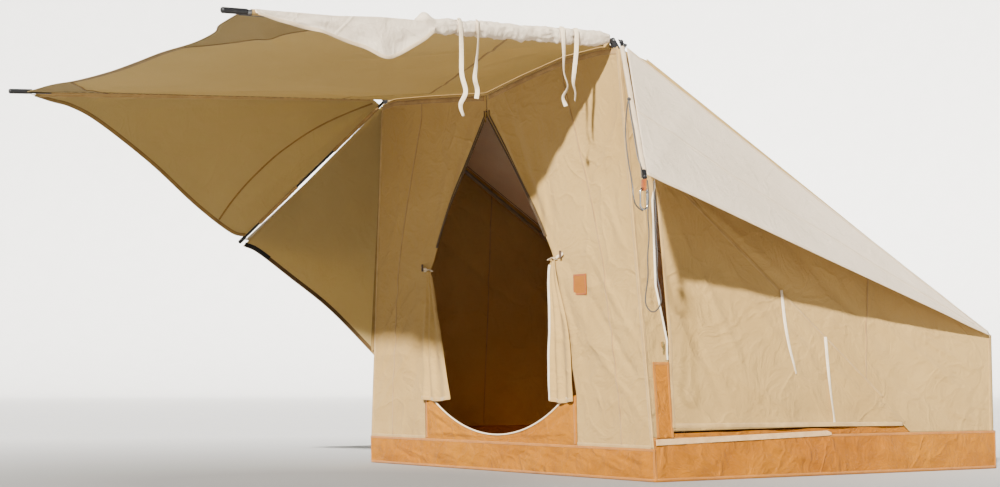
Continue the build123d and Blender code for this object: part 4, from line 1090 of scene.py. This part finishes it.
REAR_WIDE = HALF - 0.012
rear_wall = Cloth(
    lambda u, v: np.concatenate(
        (mix(-REAR_WIDE, REAR_WIDE, u) + 0 * v, REAR - 0.003 + 0 * u * v,
         mix(SIDE_LOW, REAR_TOP[2] - 0.010, v) + 0 * u), -1),
    lambda p, u, v: hanging(u, v, 141, 0.008, 5, 2), 200, 60, out=Y)
rear_seams = [band(f"rear_wall_seam_{index}", rear_wall, share, np.linspace(0.01, 0.99, 60), 0.012, SEAM)
              for index, share in enumerate((0.008, 0.34, 0.66, 0.992))]
cloth_piece("rear_wall_cloth", rear_wall, CANVAS, "rear_wall", rear_seams)


def toward(a, b, distance):
    return a + unit(b - a) * distance


LEFT_RIDGE, LEFT_REAR = RIDGE * MIRROR, REAR_TOP * MIRROR
roof_left = line(toward(LEFT_RIDGE, RIDGE, 0.10), toward(LEFT_RIDGE, LEFT_REAR, 0.16) + X * 0.004,
                 LEFT_REAR + np.array((0.005, -0.005, 0.0)))
roof_right = line(toward(RIDGE, LEFT_RIDGE, 0.10), toward(RIDGE, REAR_TOP, 0.16) - X * 0.004,
                  REAR_TOP + np.array((-0.005, -0.005, 0.0)))


def roof_relief(p, u, v):
    drape = np.exp(-((u - 0.5) / 0.22) ** 2) * np.exp(-(v / 0.10) ** 2)
    return hanging(u, v, 151, 0.012, 4, 3) - 0.020 * np.sin(np.pi * u) * np.sin(np.pi * v) - 0.004 * drape


roof = Cloth(patch(roof_left, roof_right, line(toward(LEFT_RIDGE, RIDGE, 0.10), toward(RIDGE, LEFT_RIDGE, 0.10)),
                   line(LEFT_REAR + np.array((0.005, -0.005, 0.0)), REAR_TOP + np.array((-0.005, -0.005, 0.0)))),
             roof_relief, 150, 150, out=Z)
roof_seams = [band(f"roof_seam_{index}", roof, share, np.linspace(0.004, 0.996, 140), 0.014, SEAM)
              for index, share in enumerate((0.006, 0.34, 0.66, 0.994))]
valance = Cloth(patch(line((-1.025, -1.243, 2.098), (-1.025, -1.250, 2.066)),
                      line((1.025, -1.243, 2.098), (1.025, -1.250, 2.066)),
                      line(*[(x, -1.2435, 2.0985) for x in np.linspace(-1.025, 1.025, 60)]),
                      line(*[(x, FRONT - LEAN * (wall_crest(x) - 0.01) / HEIGHT - 0.004, wall_crest(x) - 0.01)
                             for x in np.linspace(-1.025, 1.025, 60)])), None, 90, 12, out=Z)
roof_seams.append(valance.build("ridge_valance", CANVAS, "canvas", "root", CLOTH))
roof_seams += [band(f"roof_hem_{index}", roof, np.linspace(0.004, 0.996, 140), share, 0.022, HEM_PALE,
                    lift=0.001) for index, share in enumerate((0.006, 0.994))]
cloth_piece("roof_cloth", roof, FLY, "roof", roof_seams)


# ---------------------------------------------------------------- wings and windbreak
def fly(name, top, tip, rear, body, outward, seed):
    """Triangular fly: u runs from the strut to the rear corner, v from the roof edge down to the tip's edge."""
    edge = unit(rear - top)
    strut = unit(tip - top)
    high = curved(toward(top, rear, 0.035) + strut * 0.010, mix(top, rear, 0.33) + strut * 0.018,
                  mix(top, rear, 0.66) + strut * 0.016, toward(rear, top, 0.030) + unit(tip - rear) * 0.010)
    low = line(toward(tip, top, 0.030) + unit(rear - tip) * 0.016, toward(rear, tip, 0.045))
    left = line(toward(top, tip, 0.030) + edge * 0.034, toward(tip, top, 0.030) + unit(rear - tip) * 0.016)
    right = line(toward(rear, top, 0.030) + unit(tip - rear) * 0.010, toward(rear, tip, 0.045))

    def relief(p, u, v):
        sag = -0.016 * np.sin(np.pi * np.clip(u, 0, 1)) * np.sin(np.pi * np.clip(v, 0, 1))
        push = hanging(u, v, seed, 0.006, 3, 2)
        for share, width, depth in ((0.18, 0.05, 0.006), (0.42, 0.07, -0.005), (0.70, 0.08, 0.005)):
            push = push + crease(p, tip, mix(top, rear, share), width, depth)
        return sag + push * np.clip((1 - u) * 12, 0, 1)

    surface = patch(left, right, high, low)
    cloth = Cloth(surface, relief, 180, 110, out=outward)
    run = np.linspace(0.002, 0.998, 160)
    trims = [
        band(f"{name}_low_hem", cloth, run, 0.988, 0.024, HEM_PALE, body=body),
        band(f"{name}_high_hem", cloth, run, 0.012, 0.020, HEM_PALE, body=body),
        band(f"{name}_seam", cloth, np.linspace(0.0, 0.95, 130), 0.52, 0.012, HEM_PALE, body=body, lift=0.0004),
    ]
    return cloth, trims


def sleeve(name, start, end, shares, radius, material, body, seed=7):
    """Cloth pocket round a tube, a little loose and creased."""
    path = mix(start, end, np.linspace(*shares, 90)[:, None])
    axis = unit(end - start)
    helper = unit(np.cross(axis, Z))
    upper_side = np.cross(helper, axis)
    turn = np.linspace(0, 2 * np.pi, 14, endpoint=False)
    loose = 0.0012 * (1 + soft_noise(*np.meshgrid(np.linspace(0, 30, 90), turn, indexing="ij"), seed))
    ring = (np.cos(turn)[:, None] * helper + np.sin(turn)[:, None] * upper_side)
    places = path[:, None] + ring[None] * (radius + loose)[..., None]
    index = np.arange(90 * 14).reshape(90, 14)
    follow = np.roll(index, -1, axis=1)
    faces = np.stack((index[:-1], follow[:-1], follow[1:], index[1:]), -1).reshape(-1, 4)[:, ::-1].tolist()
    run = np.linspace(0, float(np.linalg.norm(path[-1] - path[0])), 90)
    uvs = np.stack(np.broadcast_arrays(run[:, None], (turn / (2 * np.pi))[None]), -1).reshape(-1, 2)
    return mesh_piece(name, places.reshape(-1, 3), faces, uvs, material, body)


LEFT_ROOT = STRUT_ROOT * MIRROR
right_fly, right_trims = fly("wing_right", STRUT_ROOT, RIGHT_TIP, REAR_TOP, "wing_right", X + Z, 161)
right_trims.append(sleeve("wing_right_sleeve", STRUT_ROOT, RIGHT_TIP, (0.050, 0.955), 0.0105, HEM_PALE,
                          "wing_right"))
cloth_piece("wing_right_cloth", right_fly, FLY, "wing_fly_right", right_trims,
            body="wing_right")
left_fly, left_trims = fly("wing_left", LEFT_ROOT, LEFT_TIP, LEFT_REAR, "root", Z - X, 171)
left_trims += [sleeve(f"wing_left_sleeve_{index}", LEFT_ROOT, LEFT_TIP, shares, 0.0105, SEAM, "root")
               for index, shares in enumerate(((0.050, 0.354), (0.603, 0.860)))]
cloth_piece("wing_left_cloth", left_fly, FLY, "wing_fly_left", left_trims)

FOOT = front(-corner_x(0.62) - 0.010, 0.62)
WIND_HEAD = toward(LEFT_ROOT, FOOT, 0.045) - X * 0.008
wind_low = curved(LEFT_TIP + unit(FOOT - LEFT_TIP) * 0.030, (-1.613, -1.766, 1.212), (-1.518, -1.605, 1.068),
                  (-1.401, -1.404, 0.882), FOOT)
wind = Cloth(
    patch(line(toward(LEFT_ROOT, LEFT_TIP, 0.040) + unit(FOOT - LEFT_TIP) * 0.010,
               LEFT_TIP + unit(FOOT - LEFT_TIP) * 0.030),
          line(WIND_HEAD, FOOT),
          line(toward(LEFT_ROOT, LEFT_TIP, 0.040) + unit(FOOT - LEFT_TIP) * 0.010, WIND_HEAD), wind_low),
    lambda p, u, v: hanging(u, v, 181, 0.008, 2, 2) + crease(p, LEFT_TIP, FOOT + Z * 0.35, 0.07, 0.006)
    + crease(p, LEFT_ROOT, FOOT - Z * 0.02 + X * -0.12, 0.05, -0.006), 110, 120, out=-Y)
wind_trims = [
    band("windbreak_low_hem", wind, np.linspace(0.004, 0.996, 110), 0.988, 0.022, DARK_PIPE),
    band("windbreak_wall_hem", wind, 0.986, np.linspace(0.004, 0.996, 120), 0.020, SHADE_SEAM),
]
wind_strap = band("windbreak_strap", wind, np.linspace(0.0, 0.17, 30), 0.985, 0.024, BLACK_WEB, slot="black_plastic",
                  lift=0.0024)
cloth_piece("windbreak_cloth", wind, SHADE_CLOTH, "windbreak_left", wind_trims + [wind_strap])


# ---------------------------------------------------------------- canopy
HINGE_LEFT, CORNER_LEFT = HINGE * MIRROR, CANOPY_CORNER * MIRROR


def arm_point(share, sign=1.0, out=0.0, up=0.0):
    place = mix(HINGE, CANOPY_CORNER, share) + np.array((out, 0.0, up))
    return place * (MIRROR if sign < 0 else 1.0)


def crest_point(x):
    z = wall_crest(x) + 0.006
    return np.array((x, FRONT - LEAN * z / HEIGHT - 0.008, z))


rear_start = arm_point(0.020, 1.0, -0.012, -0.006)
rear_edge = line(rear_start * MIRROR, *[crest_point(x) for x in np.linspace(-0.985, 0.985, 70)], rear_start)
scoop = [(-1.159, -3.295), (-0.933, -3.290), (-0.736, -3.231), (-0.412, -3.197), (-0.10, -3.198), (0.220, -3.206),
         (0.495, -3.180), (0.761, -3.206), (0.928, -3.264), (1.062, -3.320)]


def on_canopy(x, y):
    """Height of the flat plane through both arms."""
    return HINGE[2] + (CANOPY_CORNER[2] - HINGE[2]) * (y - HINGE[1]) / (CANOPY_CORNER[1] - HINGE[1])


tip_inner = arm_point(0.958, 1.0, -0.013, -0.004)
front_edge = curved(tip_inner * MIRROR, *[(x, y, on_canopy(x, y)) for x, y in scoop[1:-1]], tip_inner)


def canopy_relief(p, u, v):
    span = 4 * u * (1 - u)
    sag = -0.042 * span * np.sin(np.pi * np.clip(v * 0.62 + 0.30, 0, 1)) * np.clip(v * 4, 0, 1)
    push = hanging(u, v, 191, 0.010, 4, 3)
    folds = (((-0.99, -2.668), (0.05, -1.588), 0.035, 0.010), ((-0.95, -1.50), (-0.40, -2.10), 0.030, 0.008),
             ((0.95, -1.60), (0.45, -2.40), 0.034, -0.008), ((-1.10, -3.20), (-0.45, -2.60), 0.045, -0.010),
             ((1.10, -3.20), (0.45, -2.70), 0.045, -0.010), ((0.90, -1.35), (0.20, -1.75), 0.030, 0.007),
             ((-0.60, -1.32), (-0.25, -1.80), 0.030, 0.007), ((0.30, -1.30), (0.10, -1.75), 0.030, -0.006),
             ((-1.08, -2.90), (-0.70, -2.00), 0.03, 0.006))
    push = creased(push, p[..., :2], folds)
    hold = np.clip(np.minimum(u, 1 - u) * 16, 0, 1) * np.clip(v * 10, 0, 1)
    return (sag + push * np.clip((1 - v) * 8 + 0.3, 0, 1)) * hold


canopy = Cloth(patch(line(rear_start * MIRROR, tip_inner * MIRROR), line(rear_start, tip_inner), rear_edge,
                     front_edge),
               canopy_relief, 200, 200, out=Z)
canopy_trims = [
    band("canopy_front_hem", canopy, np.linspace(0.004, 0.996, 170), 0.992, 0.026, SHADE_SEAM, body="canopy",
         lift=-0.0006),
    band("canopy_cross_seam", canopy, np.linspace(0.02, 0.98, 150),
         np.interp(np.linspace(0, 1, 150), (0, 0.35, 0.7, 1), (0.15, 0.145, 0.22, 0.30)), 0.014, SHADE_SEAM,
         body="canopy", lift=-0.0006),
    band("canopy_edge_left", canopy, 0.008, np.linspace(0.02, 0.985, 150), 0.022, HEM, body=None, lift=-0.0006),
    band("canopy_edge_right", canopy, 0.992, np.linspace(0.02, 0.985, 150), 0.022, HEM, body=None, lift=-0.0006),
]
canopy_bending = canopy_trims[-2:]


def corner_patch(name, corner_u, reach_u, reach_v, drop=0.0018):
    """Doubled cloth sewn under a canopy corner."""
    count = 40
    s, t = np.meshgrid(np.linspace(0, 1, count), np.linspace(0, 1, count), indexing="ij")
    u = corner_u + (reach_u - corner_u) * s * (1 - t)
    v = 0.996 - (1 - reach_v) * t
    places, facing = canopy.at(np.clip(u, 0.002, 0.998), v)
    cloth = Cloth(lambda a, b: places - facing * drop, None, count - 1, count - 1, out=Z)
    seam_u = np.linspace(reach_u, corner_u, 50)
    seam_v = np.linspace(0.992, reach_v, 50)
    seam = band(f"{name}_seam", canopy, np.clip(seam_u, 0.004, 0.996), seam_v, 0.014, SHADE_SEAM, body="canopy",
                lift=-drop - 0.0016)
    return cloth.build(name, SHADE_CLOTH, "canvas", "canopy", 0.0012), seam


for name, *spot in (("canopy_patch_right", 1.0, 0.66, 0.72), ("canopy_patch_left", 0.0, 0.17, 0.79)):
    canopy_trims += corner_patch(name, *spot)
for name, sign in (("right", 1.0), ("left", -1.0)):
    canopy_trims.append(sleeve(f"canopy_sleeve_{name}", arm_point(0.0, sign), arm_point(1.0, sign), (0.045, 0.935),
                               0.0118, HEM, "canopy", 17))
    arm_line = mix(arm_point(0.90, sign), arm_point(0.955, sign), np.linspace(0, 1, 30)[:, None])
    strap_path = arm_line + np.array((-sign * 0.016, 0.0, -0.010))
    canopy_trims.append(profile_run(f"canopy_strap_{name}", strap_path, Z, flat_profile(0.024, 0.003), BLACK_WEB,
                                    "canopy"))
lace = np.linspace(0.08, 0.92, 120)
lace_places, lace_facing = canopy.at(0.024, lace)
lace_out = (0.0022 + 0.0014 * np.sin(np.arange(120) * 2.1))[:, None]
lacing = cord_tube("canopy_lacing", lace_places - lace_facing * lace_out, 0.0016, DARK_PIPE, "canopy",
                   sides=6)
canopy_bending.append(cloth_piece("canopy_cloth", canopy, SHADE_CLOTH, "canopy",
                                  canopy_trims + [lacing], body=None))
for piece in canopy_bending:
    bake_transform(piece)

# ---------------------------------------------------------------- left side panel of the canopy
panel_low = curved(arm_point(0.945, -1.0, 0.004, -0.014), (-1.243, -3.182, 1.934), (-1.254, -3.063, 1.914),
                   (-1.295, -2.889, 1.849), (-1.414, -2.535, 1.665), (-1.546, -2.200, 1.463), (-1.633, -1.937, 1.328),
                   toward(LEFT_TIP, LEFT_ROOT, 0.055))
panel_start, panel_end = arm_point(0.030, -1.0, 0.004, -0.010), toward(LEFT_ROOT, LEFT_TIP, 0.035) - Y * 0.010


def panel_relief(p, u, v):
    push = hanging(u, v, 201, 0.007, 3, 3)
    hub_spot = RIDGE * MIRROR
    for end, width, depth in (((-1.30, -2.70, 1.80), 0.03, 0.004), ((-1.50, -2.20, 1.50), 0.035, -0.003),
                              ((-1.60, -2.00, 1.38), 0.025, 0.003), ((-1.26, -3.00, 1.88), 0.022, -0.003),
                              ((-1.42, -2.50, 1.66), 0.03, 0.002)):
        push = push + crease(p, hub_spot, end, width, depth)
    return push * np.clip(np.minimum(u, 1 - u) * 18, 0, 1)


panel = Cloth(patch(line(panel_start, arm_point(0.945, -1.0, 0.004, -0.014)),
                    line(panel_end, toward(LEFT_TIP, LEFT_ROOT, 0.055)), line(panel_start, panel_end), panel_low),
              panel_relief, 120, 170, out=X)
panel_trims = [
    band("panel_low_hem", panel, np.linspace(0.004, 0.996, 140), 0.992, 0.022, SHADE_SEAM, body=None),
    band("panel_arm_seam", panel, 0.010, np.linspace(0.01, 0.985, 120), 0.020, HEM, body=None),
    band("panel_seam_low", panel, np.linspace(0.55, 0.86, 120), np.linspace(0.02, 0.98, 120), 0.012, SHADE_SEAM,
         body=None),
]
panel_piece = cloth_piece("canopy_side_left_cloth", panel, SHADE_CLOTH, "canopy_side_left",
                          panel_trims, body=None)
strut_direction = unit(LEFT_TIP - LEFT_ROOT)
arm_direction = unit(CORNER_LEFT - HINGE_LEFT)
away = arm_direction - strut_direction * (arm_direction @ strut_direction)
away = unit(away)
for piece in (panel_piece, *panel_trims):
    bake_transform(piece)

# ---------------------------------------------------------------- rolled side panel on the right arm
ROLL_UP = 0.012
TAPE_SHARES = (0.118, 0.158, 0.392, 0.440)
roll_count, roll_sides = 170, 40
run = np.linspace(0.012, 0.545, roll_count)
turn = np.linspace(0, 2 * np.pi, roll_sides, endpoint=False)
grid_run, grid_turn = np.meshgrid(run, turn, indexing="ij")
roll_axis = unit(CANOPY_CORNER - HINGE)
roll_side = unit(np.cross(roll_axis, Z))
roll_top = np.cross(roll_side, roll_axis)
taper = np.clip(np.minimum(run - 0.004, 0.551 - run) / 0.034, 0.35, 1) ** 0.5
peak = np.exp(-(((run - 0.525) / 0.016) ** 2)) + 0.45 * np.exp(-(((run - 0.465) / 0.014) ** 2))
pinch = sum(np.exp(-(((run - share) / 0.006) ** 2)) for share in TAPE_SHARES)
wales = 1 - np.abs(soft_noise(grid_run * 26 + grid_turn * 0.5, grid_turn * 1.6 - grid_run * 14, 219)) * 2
radius = (0.0275 + 0.0040 * soft_noise(grid_run * 60, grid_turn * 0.7, 211) + 0.0030 * wales
          + 0.0022 * soft_noise(grid_run * 190, grid_turn * 1.9, 213)) * taper[:, None]
radius = radius * (1 - 0.16 * pinch[:, None])
upward = np.sin(grid_turn)
radius = radius + 0.026 * peak[:, None] * np.clip(upward, 0, 1) ** 1.5
lap = 0.0035 * np.clip(1 - np.abs(((grid_turn - 0.9 - grid_run * 3) % (2 * np.pi)) - np.pi) / 0.5, 0, 1)
radius = radius + lap
wander = 0.004 * soft_noise(run * 22, run * 0 + 0.5, 215)
centre = mix(HINGE, CANOPY_CORNER, run[:, None]) + Z * ROLL_UP + Z * (wander[:, None] - 0.001)
roll_places = centre[:, None] + roll_side * (np.cos(grid_turn) * radius * 0.95)[..., None] \
    + roll_top * (np.sin(grid_turn) * radius * np.where(np.sin(grid_turn) < 0, 1.45, 0.95))[..., None]
index = np.arange(roll_count * roll_sides).reshape(roll_count, roll_sides)
follow = np.roll(index, -1, axis=1)
roll_faces = np.stack((index[:-1], follow[:-1], follow[1:], index[1:]), -1).reshape(-1, 4).tolist()
roll_faces += [index[0, ::-1].tolist(), index[-1].tolist()]
roll_uvs = np.stack((grid_run * 2.2, grid_turn * 0.03), -1).reshape(-1, 2)
roll = mesh_piece("canopy_side_roll_cloth", roll_places.reshape(-1, 3), roll_faces, roll_uvs, PALE,
                  "canopy")
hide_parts("canopy_side_roll")

edge_out = 0.017
loose_top = curved(arm_point(0.500, 1, edge_out, 0.014), arm_point(0.62, 1, edge_out + 0.004, 0.020),
                   arm_point(0.76, 1, edge_out, 0.010), arm_point(0.930, 1, edge_out - 0.002, 0.012))
loose_low = curved(arm_point(0.505, 1, edge_out, -0.020), arm_point(0.545, 1, edge_out + 0.006, -0.085),
                   arm_point(0.620, 1, edge_out, -0.160), arm_point(0.680, 1, edge_out - 0.006, -0.115),
                   arm_point(0.790, 1, edge_out, -0.062), arm_point(0.930, 1, edge_out - 0.002, -0.006))


def loose_relief(p, u, v):
    flare = np.clip(v, 0, 1)
    return (0.008 * np.sin(u * 19 + 1.2 * v) + 0.007 * soft_noise(u * 12, v * 3, 221)) * (0.3 + 0.7 * flare)


loose = Cloth(patch(line(arm_point(0.500, 1, edge_out, 0.014), arm_point(0.505, 1, edge_out, -0.020)),
                    line(arm_point(0.930, 1, edge_out - 0.002, 0.012), arm_point(0.930, 1, edge_out - 0.002, -0.006)),
                    loose_top, loose_low), loose_relief, 150, 50, out=X)
loose_hem = band("loose_end_hem", loose, np.linspace(0.01, 0.99, 140), 0.97, 0.016, HEM_PALE, slot="pale_canvas",
                 body="canopy")
cloth_piece("canopy_loose_cloth", loose, PALE, "canopy_side_loose_end", [loose_hem],
            slot="pale_canvas", body="canopy")


# ---------------------------------------------------------------- tapes
def tape(name, points, facing, width, body, curl=0.0, seed=0):
    """Cotton tape that hangs along a line and twists a little."""
    path = smooth_line(points, 70)
    twist = np.linspace(0, 1, 70)
    base = unit(np.asarray(facing, float))
    tangent = unit(np.gradient(path, axis=0))
    turned = base + np.cross(tangent, base) * (curl * np.sin(twist * 5 + seed))[:, None]
    return profile_run(name, path, turned, flat_profile(width, 0.0016), WHITE_TAPE, body)


roll_tapes = []
for number, (share, length) in enumerate(zip(TAPE_SHARES, (0.335, 0.360, 0.345, 0.425))):
    top = arm_point(share, 1, 0.031, 0.026)
    sway = 0.010 * (1 if number % 2 else -1)
    steps = [(-0.020, 0.0, 0.012), (0.0, 0.0, 0.0), (0.002, sway * 0.4, -0.30 * length),
             (-0.004, sway, -0.55 * length),
             (0.006, sway * 2.4, -0.74 * length), (-0.004, sway * 0.4, -0.88 * length), (0.004, sway * 1.4, -length)]
    roll_tapes.append(tape(f"roll_tape_{number}", [top + np.array(step) for step in steps], X, 0.020, None, 0.7,
                           number * 1.7))
    over = np.linspace(0.15, 2 * np.pi + 0.05, 50)
    centre_spot = mix(HINGE, CANOPY_CORNER, share) + Z * ROLL_UP
    wrap_high = np.where(np.sin(over) < 0, 0.0385, 0.0262)
    wrap = centre_spot + roll_side * (np.cos(over) * 0.0262)[:, None] + roll_top * (np.sin(over) * wrap_high)[:, None]
    outwards = roll_side * np.cos(over)[:, None] + roll_top * np.sin(over)[:, None]
    roll_tapes.append(profile_run(f"roll_tape_wrap_{number}", wrap, outwards, flat_profile(0.020, 0.0016), WHITE_TAPE,
                                  None))
for piece in roll_tapes[4:]:
    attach(piece, "canopy")
for number, piece in enumerate(roll_tapes[:4]):
    if number % 2 == 0:
        top = arm_point(TAPE_SHARES[number // 2], 1, 0.031, 0.026)
        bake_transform(piece)
    else:
        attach(piece, "canopy")
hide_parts("roll_ties")

for number, points in enumerate(((
    (0.867, 0.920), (0.872, 0.83), (0.878, 0.746), (0.895, 0.64), (0.918, 0.55), (0.930, 0.503)), (
    (1.145, 0.690), (1.148, 0.58), (1.153, 0.474), (1.160, 0.38), (1.168, 0.30), (1.170, 0.262))
)):
    places = [side(y_back, z, 1.0, 0.011) for y_back, z in points]
    tape(f"side_flap_tape_{number}", places, X, 0.016, "side_flap", 0.35, number)
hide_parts("side_flap_ties")

# ---------------------------------------------------------------- badge and tab
badge_low, badge_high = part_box("badge_patch")
badge_x, badge_z = (badge_low[0] + badge_high[0]) / 2, (badge_low[2] + badge_high[2]) / 2
badge = Cloth(on_front(box_patch(badge_x - 0.052, badge_x + 0.052, badge_z - 0.052, badge_z + 0.052), 0.0055),
              small_relief(231, 0.0008, 3, 3), 40, 40, out=-Y)
loop = np.linspace(0.05, 0.95, 24)
badge_u = np.concatenate((loop, np.full(24, 0.95), loop[::-1], np.full(24, 0.05)))
badge_v = np.concatenate((np.full(24, 0.05), loop, np.full(24, 0.95), loop[::-1]))
badge_rim = [band(f"badge_rim_{side_number}", badge, badge_u[part], badge_v[part], 0.008, ORANGE_WEB,
                  slot="orange_web", thickness=0.0016, lift=0.0006)
             for side_number, part in enumerate((slice(0, 24), slice(24, 48), slice(48, 72), slice(72, 96)))]
BADGE = cloth_material("badge_cloth", srgb(158, 96, 14), srgb(146, 84, 8), srgb(110, 60, 8), 0, None, crumple=0.1)
cloth_piece("badge_cloth_piece", badge, BADGE, "badge_patch", badge_rim,
            slot="orange_web", thickness=0.0018)

tab_low, tab_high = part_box("wing_tab")
tab_centre = (np.array(tab_low) + np.array(tab_high)) / 2
tab_path = tab_centre + np.stack((np.zeros(24), 0.0006 * np.sin(np.arange(24)), np.linspace(0.025, -0.025, 24)), -1)
tab_web = profile_run("wing_tab_web", tab_path, Y, flat_profile(0.036, 0.0028), ORANGE_WEB,
                      "wing_right")
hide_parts("wing_tab")


# ---------------------------------------------------------------- finishes of the carried-over CAD pieces
STEEL = hard_material("tube_steel", srgb(150, 152, 155), srgb(96, 92, 88), 0.36, 0.9)
BRIGHT = hard_material("bright_steel", srgb(196, 198, 200), srgb(140, 138, 134), 0.24, 1.0, 0.2)
BRASS = hard_material("zip_brass", srgb(186, 164, 110), srgb(120, 100, 66), 0.32, 1.0)
HUB = hard_material("hub_plastic", srgb(44, 44, 46), srgb(84, 84, 86), 0.5)
BLACK = hard_material("black_plastic", srgb(26, 26, 28), srgb(70, 70, 72), 0.45)
RUBBER = hard_material("foot_rubber", srgb(36, 35, 34), srgb(74, 70, 66), 0.8, bump=0.3)
WOOD = wood_material("toggle_wood")
FINISHES = {
    "tube_steel": (STEEL, ("front_legs_lower", "front_legs_upper", "rafters", "rear_legs", "ridge_bar", "rear_bar",
                           "canopy_arms")),
    "hub_plastic": (HUB, ("ridge_hub_left", "ridge_hub_right", "rear_hubs")),
    "black_plastic": (BLACK, ("wing_strut_left", "wing_strut_right", "wing_tip_left", "wing_tip_right",
                              "canopy_tips")),
    "foot_rubber": (RUBBER, ("foot_cups",)),
    "toggle_wood": (WOOD, ("door_toggles",)),
    "bright_steel": (BRIGHT, ("snap_hook", "snap_hook_gate", "canopy_hinge_pins", "leg_button_left",
                              "leg_button_right", "button_springs")),
    "zip_brass": (BRASS, ("door_zip_slider", "side_zip_slider")),
    "rope": (ROPE, ("rope_knot",)),
}
for material, nodes in FINISHES.values():
    for node in nodes:
        holder = bpy.data.objects[node]
        holder.data.materials.clear()
        holder.data.materials.append(material)

({"cad": [list(map(float, corner)) for corner in cad_bounds],
           "visual": [list(map(float, corner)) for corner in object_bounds()]})
